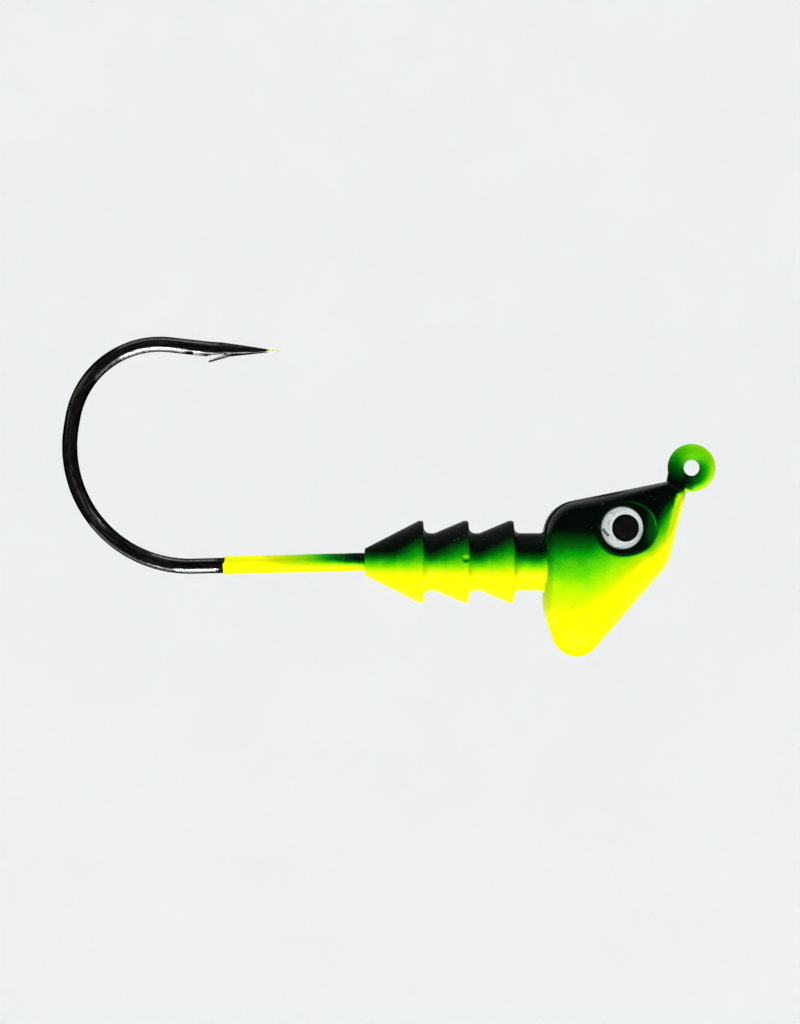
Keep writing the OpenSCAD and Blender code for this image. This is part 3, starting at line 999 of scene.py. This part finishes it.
yaw = math.radians(eye["yaw"])
noseMid = neckDir * head["noseReach"]
noseTop = noseMid + noseDir * head["noseOver"]
noseFront = noseMid - noseDir * head["noseUnder"]
browFall = (noseTop[0] + head["back"]) * math.tan(math.radians(head["brow"]))
browBack = np.array([-head["back"], noseTop[1] - browFall])
faceFoot = noseFront - np.array([head["faceH"] / math.tan(math.radians(head["faceA"])), head["faceH"]])
chin = faceFoot - np.array([head["jawH"] / math.tan(math.radians(head["jawA"])), head["jawH"]])
throat = np.array([-head["back"], browBack[1] - head["backH"]])
headMid = np.array([-head["back"] * 0.6, -tie["shankDrop"] * 0.86])
taperX = -head["back"] * 0.72
taperZ = -tie["shankDrop"] * 0.62
chinZ = chin[1] + 2.2
bossR = eye["d"] / 2 + eye["gap"] + eye["bossWall"]


def unitOf(v):
    return v / np.linalg.norm(v)


def headOutline(grow, step):
    # rounded outline, clockwise from the back's top corner, as rows x, z, edge width
    corners = [browBack, noseTop, noseFront, faceFoot, chin, throat]
    moved = []
    for i, corner in enumerate(corners):
        u = unitOf(corner - corners[i - 1])
        v = unitOf(corners[(i + 1) % 6] - corner)
        u = np.array([-u[1], u[0]])
        v = np.array([-v[1], v[0]])
        moved.append(corner + grow * (u + v) / (1 + u @ v))
    arcs = []
    for i, corner in enumerate(moved):
        u = unitOf(moved[i - 1] - corner)
        v = unitOf(moved[(i + 1) % 6] - corner)
        half = math.acos(u @ v) / 2
        r = head["cornerR"][i] + grow
        mid = corner + unitOf(u + v) * r / math.sin(half)
        start = corner + u * r / math.tan(half) - mid
        a0 = math.atan2(start[1], start[0])
        sweep = math.pi - 2 * half
        count = max(5, math.ceil(r * sweep / step))
        width = head["edgeW"][i] + grow
        arc = []
        for k in range(count + 1):
            a = a0 - sweep * k / count
            arc.append([mid[0] + r * math.cos(a), mid[1] + r * math.sin(a), width])
        arcs.append(np.array(arc))
    rows = []
    for i in range(6):
        rows += list(arcs[i])
        p, q = arcs[i][-1], arcs[(i + 1) % 6][0]
        count = math.ceil(np.linalg.norm(q[:2] - p[:2]) / step)
        rows += [p + (q - p) * k / count for k in range(1, count)]
    return np.array(rows)


def cheekHeight(x, z):
    u = np.maximum(0, (x - taperX) / (noseFront[0] - taperX))
    v = np.maximum(0, (taperZ - z) / (taperZ - chinZ))
    return coat + head["half"] * (1 - head["noseTaper"] * u * u) * (1 - head["chinTaper"] * v * v)


def atEye(u, v, w):
    # from the right eye's frame, w straight out and u towards the nose
    return (
        -eye["back"] + u * math.cos(yaw) + w * math.sin(yaw),
        -eye["out"] + u * math.sin(yaw) - w * math.cos(yaw),
        -eye["drop"] + v,
    )


def softMax(a, b, k):
    return (a + b + np.sqrt((a - b) ** 2 + k * k)) / 2


def bossOver(u, v):
    # distance outside the outline of the boss's face, which is one round about the eye and one ahead of it
    first = np.hypot(u, v) - bossR
    second = np.hypot(u - eye["bossFwd"], v) - eye["frontD"] / 2
    return -softMax(-first, -second, 0.30)


def bossHeight(x, z):
    # half-thickness of the raised boss round the eye over the middle plane
    w = np.zeros_like(x)
    slope = math.tan(math.radians(eye["flare"]))
    for _ in range(6):
        u = (x + eye["back"] - w * math.sin(yaw)) / math.cos(yaw)
        over = bossOver(u, z + eye["drop"]) / slope
        w = 0.4 * w - 0.6 * softMax(over, np.zeros_like(over), 0.16)
        w = np.maximum(w, -3.0)
    return eye["out"] - u * math.sin(yaw) + w * math.cos(yaw)


def headSurface(x, z, spokes):
    # half-thickness at points of the middle plane, each on a spoke from the head's middle to the outline
    dx, dz = x - headMid[0], z - headMid[1]
    angle = np.arctan2(dz, dx)
    reach = np.interp(angle, spokes["angle"], spokes["reach"], period=2 * math.pi)
    width = np.interp(angle, spokes["angle"], spokes["width"], period=2 * math.pi)
    away = np.maximum(reach - np.hypot(dx, dz), 0)
    t = np.clip(away / width, 0, 1)
    p = head["fullness"]
    edge = np.power(np.clip(1 - np.power(1 - t, p), 0, 1), 1 / p)
    inner = np.minimum(reach - width, np.hypot(dx, dz))
    body = cheekHeight(headMid[0] + inner * np.cos(angle), headMid[1] + inner * np.sin(angle)) * edge
    return np.where(away < 1e-6, 0.0, softMax(body, bossHeight(x, z), 0.10) - 0.002)


headTones = {
    # heights where the sprayed back fades from black through green and lime to bare yellow, by distance back
    "x": (-13.3, -10.6, -8.7, -6.3, -4.9, -4.0, -2.8, -1.9, -1.2),
    1.00: (-5.7, -5.7, -6.0, -6.2, -5.9, -5.1, -3.0, -2.5, -1.6),
    0.90: (-6.1, -6.1, -6.4, -6.6, -6.3, -5.6, -3.4, -2.9, -1.9),
    0.75: (-7.1, -6.9, -6.9, -7.4, -7.0, -6.2, -3.9, -3.1, -2.1),
    0.62: (-7.8, -7.45, -7.2, -7.7, -7.3, -6.6, -4.4, -3.3, -2.2),
    0.50: (-8.9, -8.4, -7.7, -7.9, -7.6, -7.0, -5.1, -3.5, -2.4),
    0.36: (-10.2, -10.0, -9.2, -8.3, -7.9, -7.5, -6.2, -4.1, -2.6),
    0.25: (-11.1, -11.6, -10.9, -9.0, -8.2, -7.9, -6.8, -4.8, -2.8),
    0.08: (-13.2, -13.0, -11.9, -9.9, -8.6, -8.3, -7.1, -5.6, -3.0),
    0.00: (-14.4, -14.2, -13.0, -10.7, -9.3, -8.9, -7.6, -6.1, -3.4),
}


def headTone(at):
    x, y, z = at[:, 0], np.abs(at[:, 1]), at[:, 2]
    levels = sorted(k for k in headTones if k != "x")
    heights = np.array([np.interp(x, headTones["x"], headTones[k]) for k in levels])
    tone = np.zeros(len(x))
    for k in range(len(levels) - 1):
        low, high = heights[k], heights[k + 1]
        part = np.clip((z - low) / (high - low), 0, 1)
        tone = np.where(z >= low, levels[k] + part * (levels[k + 1] - levels[k]), tone)
    # the boss round the eye is darkened
    u = (x + eye["back"]) / math.cos(yaw)
    v = z + eye["drop"]
    over = bossOver(u, v)
    dark = ramp01(0.34, 0.04, over) * ramp01(1.5, 2.4, y)
    turn = np.degrees(np.arctan2(v, u - eye["bossFwd"]))
    crescent = ramp01(2.0, 2.7, u) * ramp01(2.4, 0.8, np.abs(v))
    # painted highlight: a lighter green arc along the boss's rounded edge, most towards the nose and the
    # brow
    paintedRimHighlight = np.exp(-(((over - 0.03) / 0.12) ** 2)) * ramp01(-35, 15, turn) * ramp01(125, 60, turn)
    rim = np.clip(tone, 0.95, 0.98) - 0.20 * crescent - 0.30 * paintedRimHighlight
    tone = tone * (1 - dark) + rim * dark
    # the blunt front of the face keeps the base coat, with a ragged edge
    line = unitOf(faceFoot - noseFront)
    side = np.array([-line[1], line[0]])
    rel = np.stack([x - noseFront[0], z - noseFront[1]], 1)
    depth = coat - rel @ side
    shake = noiseAt(x * 1.7, z * 1.7, 3.0)
    bare = ramp01(1.12, 0.80, depth + 0.10 * shake) * ramp01(-2.2, -2.75, z + 0.25 * shake)
    bare = bare * ramp01(-12.0, -10.0, z)
    return tone * (1 - bare) + np.minimum(tone, 0.12) * bare


def ringShares(length, width, rings):
    # where the rings cross one line from the boss to the outline, closest on the rounded edges
    edge = width * 0.85
    far = length * np.linspace(0, 1, 500) ** 2  # distance in from the outline
    mid = (far[1:] + far[:-1]) / 2
    weight = np.where(mid < edge, 1.5 / np.sqrt(np.maximum(mid * (2 * edge - mid), 1e-6)), 0)
    weight += 1.6 / max(length, 1) + 2.6 * np.exp(-(((length - mid) / 0.45) ** 2))
    total = np.concatenate([[0], np.cumsum(weight * np.diff(far))])
    want = np.linspace(total[-1], 0, rings + 1)[1:]
    return 1 - np.interp(want, total, far) / length


def makeHead():
    rim = headOutline(coat, 0.17)
    fine = headOutline(coat, 0.03)
    spokes = {
        "angle": np.arctan2(fine[:, 1] - headMid[1], fine[:, 0] - headMid[0]),
        "reach": np.hypot(fine[:, 0] - headMid[0], fine[:, 1] - headMid[1]),
        "width": fine[:, 2],
    }
    count = len(rim)
    centre = np.array([-eye["back"], -eye["drop"]])
    angles = np.arctan2(rim[:, 1] - centre[1], rim[:, 0] - centre[0])
    cosA, sinA = np.cos(angles), np.sin(angles)
    socketR = eye["d"] / 2 + eye["gap"]
    floor = -eye["depth"]
    rings = []
    # the socket's floor, wall and rounded lip, in the eye's own frame
    inner = [
        (0.7, floor),
        (1.5, floor),
        (socketR - 0.08, floor),
        (socketR - 0.02, floor + 0.02),
        (socketR, floor + 0.08),
        (socketR, -0.16),
        (socketR + 0.012, -0.08),
        (socketR + 0.045, -0.03),
        (socketR + 0.10, -0.004),
        (socketR + 0.17, 0.0),
    ]
    for radius, w in inner:
        rings.append(np.stack(atEye(radius * cosA, radius * sinA, np.full(count, w)), 1))
    # out to the rounded edge, where the boss's outline takes over from the socket's
    lastR = inner[-1][0]
    frontR = eye["bossFwd"] * cosA + np.sqrt((eye["frontD"] / 2) ** 2 - (eye["bossFwd"] * sinA) ** 2)
    edgeR = np.maximum(bossR, frontR) - 0.10
    for t in (0.25, 0.5, 0.75, 1.0):
        radius = lastR * (1 - t) + edgeR * t
        x, _, z = atEye(radius * cosA, radius * sinA, np.zeros(count))
        flat = eye["out"] - radius * cosA * math.sin(yaw)
        h = flat * (1 - t) + headSurface(x, z, spokes) * t
        rings.append(np.stack([x, -h, z], 1))
    # from the boss out to the parting plane
    starts = rings[-1][:, [0, 2]]
    reach = rim[:, :2] - starts
    outer = head["rings"]
    shares = np.array([ringShares(np.linalg.norm(reach[i]), rim[i, 2], outer) for i in range(count)])
    for j in range(outer):
        at = starts + reach * shares[:, j][:, None]
        if j == outer - 1:
            h = np.zeros(count)
        else:
            h = headSurface(at[:, 0], at[:, 1], spokes)
        rings.append(np.stack([at[:, 0], -h, at[:, 1]], 1))
    layers = len(rings)
    right = np.vstack(rings)
    middle = np.array([atEye(0.0, 0.0, -eye["depth"])])
    left = right * np.array([1, -1, 1])
    points = np.vstack([right, middle, left, middle * np.array([1, -1, 1])])
    base = len(right) + 1
    faces = []
    for i in range(count):
        n = (i + 1) % count
        faces.append((base - 1, n, i))
        faces.append((base + len(right), base + i, base + n))
        for j in range(layers - 1):
            a, b, c, d = j * count + i, j * count + n, (j + 1) * count + n, (j + 1) * count + i
            faces.append((a, b, c, d))
            faces.append((base + d, base + c, base + b, base + a))
    mesh = meshFrom("painted_head", points, faces)
    tidyMesh(mesh, 5e-4)
    storeTone(mesh, "spray_and_painted_light", headTone(vertexArray(mesh)))
    piece = objectFrom("painted_head", mesh)
    return setPiece(piece, paint, "powder_paint", "paint_coat")


makeHead()


def roundedLine(corners, step):
    # an open line of x, radius with each inner corner rounded to its own radius
    out = [np.array(corners[0][:2])]
    for i in range(1, len(corners) - 1):
        corner = np.array(corners[i][:2])
        r = corners[i][2]
        u = unitOf(np.array(corners[i - 1][:2]) - corner)
        v = unitOf(np.array(corners[i + 1][:2]) - corner)
        half = math.acos(max(-1, min(1, u @ v))) / 2
        cut = r / math.tan(half)
        mid = corner + unitOf(u + v) * r / math.sin(half)
        start = corner + u * cut - mid
        end = corner + v * cut - mid
        turn = math.atan2(start[0] * end[1] - start[1] * end[0], start @ end)
        count = max(4, math.ceil(abs(turn) * r / step))
        a0 = math.atan2(start[1], start[0])
        for k in range(count + 1):
            angle = a0 + turn * k / count
            out.append(mid + r * np.array([math.cos(angle), math.sin(angle)]))
    out.append(np.array(corners[-1][:2]))
    dense = [out[0]]
    for p in out[1:]:
        gap = np.linalg.norm(p - dense[-1])
        start = dense[-1]
        count = max(1, math.ceil(gap / (step * 3)))
        dense += [start + (p - start) * k / count for k in range(1, count + 1)]
    return np.array(dense)


def keeperSection(settings):
    # the half-section from inside the head to the small end, x backwards from the head's back
    core = settings["coreD"] / 2 + coat
    rimR = settings["barbD"] / 2 + coat
    root = core + 0.25
    corners = [(-1.2, core * 0.6, 0.0), (-0.9, root, 0.1), (-0.02, root, 0.2), (0.45, core, 0.5)]
    for k in range(settings["barbs"]):
        y = settings["firstRim"] + settings["pitch"] * k
        face = y - settings["rimW"] - coat
        corners.append((face - 0.04, core, settings["rootR"] - coat))
        corners.append((face + 0.04, rimR, 0.17))
        corners.append((y + coat / 2, rimR, 0.14))
        if k < settings["barbs"] - 1:
            corners.append((y + settings["coneRun"], core, 0.45))
    tail = settings["tailD"] / 2 + coat
    end = settings["length"] + coat
    corners.append((end, tail, 0.16))
    corners.append((end + 0.02, wire["wireD"] / 2 - 0.15, 0.0))
    return roundedLine(corners, 0.045)


keeperTones = [
    # tone, its height over the middle of the core, and how much that rises with the cones
    (0.00, -1.50, 0.00),
    (0.08, -1.00, 0.00),
    (0.25, -0.62, 0.05),
    (0.36, -0.30, 0.20),
    (0.50, 0.12, 0.50),
    (0.62, 0.42, 0.90),
    (0.75, 0.70, 1.05),
    (0.90, 1.00, 1.15),
    (1.00, 1.30, 1.20),
]


def keeperTone(at):
    x, y, z = at[:, 0], at[:, 1], at[:, 2]
    up = z + tie["shankDrop"]
    # the spray reaches lower on the cores, and the cones stand out of it
    over = np.maximum(np.hypot(y, up) - 2.73, 0)
    mist = noiseAt(x * 0.9, y * 0.9, 1.0) * 0.12
    tone = np.zeros(len(x))
    for (low, a0, a1), (high, b0, b1) in zip(keeperTones[:-1], keeperTones[1:]):
        bottom, top = a0 + a1 * over, b0 + b1 * over
        part = np.clip((up + mist - bottom) / (top - bottom), 0, 1)
        tone = np.where(up + mist >= bottom, low + part * (high - low), tone)
    return tone


def makeKeeper(settings):
    section = keeperSection(settings)
    section[:, 0] = np.maximum.accumulate(section[:, 0] + np.arange(len(section)) * 1e-6)
    places = [(-head["back"] - s, -tie["shankDrop"]) for s in section[:, 0]]
    piece = pathObject("painted_keeper", places)
    storeTone(piece.data, "turnRadius", section[:, 1])
    runTree(piece, turned, {"Sides": 132, "Material": paint})
    mesh = piece.data
    tidyMesh(mesh)
    at = vertexArray(mesh)
    # the mould's pip on each side
    px, pz, pr, ph = settings["pip"]
    spot = np.hypot(at[:, 0] - px, at[:, 2] - pz) / pr
    at[:, 1] += np.sign(at[:, 1]) * ph * np.sqrt(np.maximum(0, 1 - spot**2)) ** 0.8
    moveVertices(mesh, at)
    # painted light on the pip: its upper side is painted lighter as a highlight, its underside darker as
    # shade
    shade = ramp01(1.15, 0.7, spot) * np.clip(-(at[:, 2] - pz - 0.05) / pr, -0.6, 0.6) * 0.5
    storeTone(mesh, "spray_and_painted_light", np.clip(keeperTone(at) + shade, 0, 1))
    return setPiece(piece, paint, "powder_paint", "paint_coat")


makeKeeper(keeper)


shankTones = {
    # the black fades backwards along the shank, and from its top to its underside
    "x": (-41.0, -39.1, -37.2, -35.3, -33.4, -32.5, -31.5),
    "reach": (0.02, 0.11, 0.29, 0.46, 0.69, 0.88, 1.0),
    "up": (-0.56, -0.38, -0.19, 0.0, 0.19, 0.38),
    "shape": (0.0, 0.12, 0.36, 0.64, 0.88, 1.0),
}


def shankTone(at):
    up = -nearestOnHook(at)[1]  # the path runs backwards, so its left side is the underside
    x = at[:, 0]
    shake = noiseAt(x * 1.3, at[:, 1] * 2.0, 5.0)
    reach = np.interp(x, shankTones["x"], shankTones["reach"])
    shape = np.interp(up + 0.08 * shake, shankTones["up"], shankTones["shape"])
    return reach * shape


def makeShank(settings):
    start = hookSteps[np.argmin(np.abs(hookPlaces[:, 0] - (keeperEnd + 0.5)))]
    end = hookSteps[np.argmin(np.hypot(*(hookPlaces - keeperPlace).T))] + settings["painted"]
    wireR = wire["wireD"] / 2
    full = wireR + coat
    beadW = settings["beadW"]
    fineRun = end - settings["fine"]
    rows = np.concatenate([np.arange(start, fineRun, 0.22), np.linspace(fineRun, end, 22)])
    sides = 56
    points = []
    for s in rows:
        x, z = hookPlaceAt(s)
        h = np.interp(s, hookSteps, hookHeadings)
        for k in range(sides):
            a = 2 * math.pi * k / sides
            # the coat ends in a thick ragged bead where the hook was held while it was dipped
            lag = noise.noise(Vector((math.cos(a) * 1.3, math.sin(a) * 1.3, 0.7)))
            lag += 0.5 * noise.noise(Vector((math.cos(a) * 3.1, math.sin(a) * 3.1, 9.7)))
            stop = end - settings["ragged"] * (0.35 + 0.65 * lag)
            left = stop - s
            r = full + settings["bead"] * math.exp(-(((left - 0.28) / beadW) ** 2))
            r += 0.018 * noise.noise(Vector((s * 0.7, math.cos(a), math.sin(a))))
            if left < beadW:
                t = min(1.0, (beadW - left) / beadW)
                r = wireR - 0.04 + (r - wireR + 0.04) * math.sqrt(max(0.0, 1 - t * t))
            up = r * math.cos(a)
            points.append((x - up * math.sin(h), r * math.sin(a), z + up * math.cos(h)))
    faces = tubeFaces(len(rows), sides)
    faces.append(tuple(range(sides)))
    faces.append(tuple(range((len(rows) - 1) * sides, len(rows) * sides)))
    mesh = meshFrom("painted_shank", points, faces)
    tidyMesh(mesh)
    storeTone(mesh, "spray_and_painted_light", shankTone(vertexArray(mesh)))
    piece = objectFrom("painted_shank", mesh)
    return setPiece(piece, paint, "powder_paint", "paint_coat")


makeShank(shank)


tieTones = {
    # tone at the inside, the middle and the outside of the ring's wire, by angle up from the front
    "angle": (-80, -40, 0, 30, 60, 100, 140, 180, 210, 240, 262, 280),
    "inner": (0.70, 0.62, 0.60, 0.50, 0.40, 0.35, 0.38, 0.50, 0.66, 0.86, 0.84, 0.70),
    "middle": (0.66, 0.52, 0.45, 0.40, 0.38, 0.41, 0.50, 0.67, 0.76, 0.92, 0.86, 0.66),
    "outer": (0.12, 0.08, 0.10, 0.20, 0.28, 0.36, 0.46, 0.66, 0.88, 0.95, 0.50, 0.12),
}


def tieTone(at):
    x, z = at[:, 0], at[:, 2]
    radius = np.hypot(x, z)
    angle = (np.degrees(np.arctan2(z, x)) + 80) % 360 - 80
    inner = np.interp(angle, tieTones["angle"], tieTones["inner"])
    middle = np.interp(angle, tieTones["angle"], tieTones["middle"])
    outer = np.interp(angle, tieTones["angle"], tieTones["outer"])
    out = np.clip((radius - tie["ringR"]) / (tie["wireD"] / 2 + coat), -1, 1)
    ring = middle + np.where(out < 0, (middle - inner) * out, (outer - middle) * out)
    # down the neck the black covers all but the blunt front
    down = at[:, [0, 2]] @ neckDir
    front = -(at[:, [0, 2]] @ noseDir)
    shake = noiseAt(*(at * 2.3).T) * 0.22
    neck = 1.0 - 0.92 * ramp01(0.42, 0.66, front + shake)
    blend = ramp01(1.75, 2.15, down + shake * 0.5)
    return ring * (1 - blend) + neck * blend


def roundBar(name, a, b, radiusA, radiusB, sides=48):
    # a closed bar in the middle plane from a to b
    a, b = np.array(a, float), np.array(b, float)
    d = unitOf(b - a)
    across = np.array([-d[1], d[0]])
    points = []
    for end, radius in ((a, radiusA), (b, radiusB)):
        for k in range(sides):
            t = 2 * math.pi * k / sides
            place = end + across * radius * math.cos(t)
            points.append((place[0], radius * math.sin(t), place[1]))
    faces = tubeFaces(2, sides)
    faces += [tuple(range(sides)), tuple(range(sides, 2 * sides))]
    mesh = meshFrom(name, points, faces)
    tidyMesh(mesh)
    return objectFrom(name, mesh)


def makeTie(settings):
    ringD = settings["wireD"] + 2 * coat
    piece = sweepWire("painted_tie", ringPlaces(settings["ringR"], 120), ringD, paint, 56, True)
    tidyMesh(piece.data)
    neckR = wire["wireD"] / 2 + coat
    cutR = settings["cutD"] / 2
    flareFrom = neckDir * 1.9 + noseDir * 0.05
    flareTo = neckDir * 3.3 + noseDir * 0.42
    bars = [
        roundBar("neck", ringFoot * 0.86, neckDir * 4.2, neckR, neckR),
        roundBar("flare", flareFrom, flareTo, neckR * 0.8, neckR * 1.25),
        roundBar("cut_end", *settings["cutEnd"], cutR, cutR),
    ]
    for bar in bars:
        addBoolean(piece, bar, "UNION")
    remeshed(piece, 0.05, 5)
    mesh = piece.data
    mesh.shade_smooth()
    # the clearing pin leaves a short straight land inside the ring
    at = vertexArray(mesh)
    radius = np.hypot(at[:, 0], at[:, 2])
    push = np.maximum(settings["holeR"] / np.maximum(radius, 1e-6), 1.0)
    at[:, 0] *= push
    at[:, 2] *= push
    moveVertices(mesh, at)
    storeTone(mesh, "spray_and_painted_light", tieTone(at))
    return setPiece(piece, paint, "powder_paint", "paint_coat")


makeTie(tie)


def makeDome(name, sign):
    # a cured drop: upright edge, then a low cap
    edge = 0.16
    radius = eye["d"] / 2
    cap = eye["domeH"] - edge
    capR = (radius * radius + cap * cap) / (2 * cap)
    section = [(radius - 0.05, 0.0), (radius - 0.015, 0.015), (radius, 0.05)]
    section += [(radius, 0.10), (radius - 0.004, 0.14)]
    top = [(radius - 0.02) * math.cos(a) for a in np.linspace(0, math.pi / 2, 26)[:-1]]
    section += [(r, edge + cap - capR + math.sqrt(capR**2 - r**2)) for r in top]
    hair = 0.002  # keeps the drop's faces off the foil's and inside the solid
    base = -eye["depth"] + eye["stack"] + hair
    sides = 96
    points = []
    for r, w in section:
        points += [atEye(x, z, base + w) for x, z in ringPlaces(r, sides)]
    points += [atEye(0, 0, base), atEye(0, 0, base + eye["domeH"] - hair)]
    low, high = len(points) - 2, len(points) - 1
    faces = tubeFaces(len(section), sides)
    for k in range(sides):
        faces.append((low, k, (k + 1) % sides))
        faces.append((high, (len(section) - 1) * sides + (k + 1) % sides, (len(section) - 1) * sides + k))
    points = [(x, y * sign, z) for x, y, z in points]
    mesh = meshFrom(name, points, faces)
    tidyMesh(mesh)
    return objectFrom(name, mesh)


for side, sign in (("right", 1), ("left", -1)):
    dome = makeDome(side + "_eye_drop", sign)
    setPiece(dome, epoxy, "clear_epoxy", side + "_eye_dome")


def dressNode(name, material):
    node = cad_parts[name]
    node.data.materials.clear()
    node.data.materials.append(material)


dressNode("lead_head", lead)
for side in ("left", "right"):
    dressNode(side + "_eye_pad", adhesive)
    dressNode(side + "_eye_foil", foil)
    dressNode(side + "_eye_pupil", ink)
print("eyes set")

studio = {
    # in metres
    "floorZ": -0.30,
    "floorR": 0.75,
    "coveR": 0.30,
    "wallH": 1.1,
    "colour": (0.891, 0.900, 0.897),
    "world": (0.99, 1.0, 1.0),
    "worldPower": 1.04,
    "middle": (-0.0277, 0.0, -0.004),
    # name, place, size and power of each lamp
    "lamps": [
        ("soft_top", (-0.06, -0.10, 0.50), (0.60, 0.45), 1.5),
        ("strip_low", (-0.040, -0.11, -0.22), (0.20, 0.014), 0.9),
        ("glint", (0.16, -0.22, 0.22), (0.05, 0.05), 0.16),
    ],
}


def makeCove(settings):
    # one round seamless sheet: floor, curve and wall
    section = [(0.0001, 0.0)] + [(settings["floorR"] * t, 0.0) for t in (0.25, 0.5, 0.75)]
    start = settings["floorR"]
    for k in range(13):
        a = math.radians(90 * k / 12)
        section.append((start + settings["coveR"] * math.sin(a), settings["coveR"] * (1 - math.cos(a))))
    section.append((start + settings["coveR"], settings["wallH"]))
    sides = 96
    points = []
    for r, h in section:
        points += [(settings["middle"][0] + x, y, settings["floorZ"] + h) for x, y in ringPlaces(r, sides)]
    mesh = meshFrom("studio_cove", points, tubeFaces(len(section), sides))
    mesh.shade_smooth()
    cove = objectFrom("studio_cove", mesh)
    material, tree, shader = newMaterial("studio_paper")
    place = millimetres(tree)
    fibre = noiseNode(tree, place, 0.02, 3.0)
    low = tuple(c * 0.985 for c in settings["colour"])
    colour = rampNode(tree, fibre, [(0.35, low), (0.65, settings["colour"])])
    tree.links.new(colour, shader.inputs["Base Color"])
    shader.inputs["Roughness"].default_value = 0.9
    shader.inputs["Specular IOR Level"].default_value = 0.1
    mesh.materials.append(material)
    return cove


def addLamp(name, place, size, power):
    data = bpy.data.lights.new(name, "AREA")
    data.shape = "RECTANGLE"
    data.size = size[0]
    data.size_y = size[1]
    data.energy = power
    light = bpy.data.objects.new(name, data)
    bpy.context.scene.collection.objects.link(light)
    light.location = place
    look = Vector(studio["middle"]) - Vector(place)
    light.rotation_euler = look.to_track_quat("-Z", "Y").to_euler()
    light.visible_camera = False
    return light


def lightStudio():
    world = bpy.data.worlds.new("studio_world")
    bpy.context.scene.world = world
    world.use_nodes = True
    back = world.node_tree.nodes["Background"]
    back.inputs["Color"].default_value = (*studio["world"], 1.0)
    back.inputs["Strength"].default_value = studio["worldPower"]
    for lamp in studio["lamps"]:
        addLamp(*lamp)


makeCove(studio)
lightStudio()
scene = bpy.context.scene
scene.view_settings.view_transform = "Standard"
scene.view_settings.look = "None"
scene.view_settings.exposure = 0.0
print("studio lit")
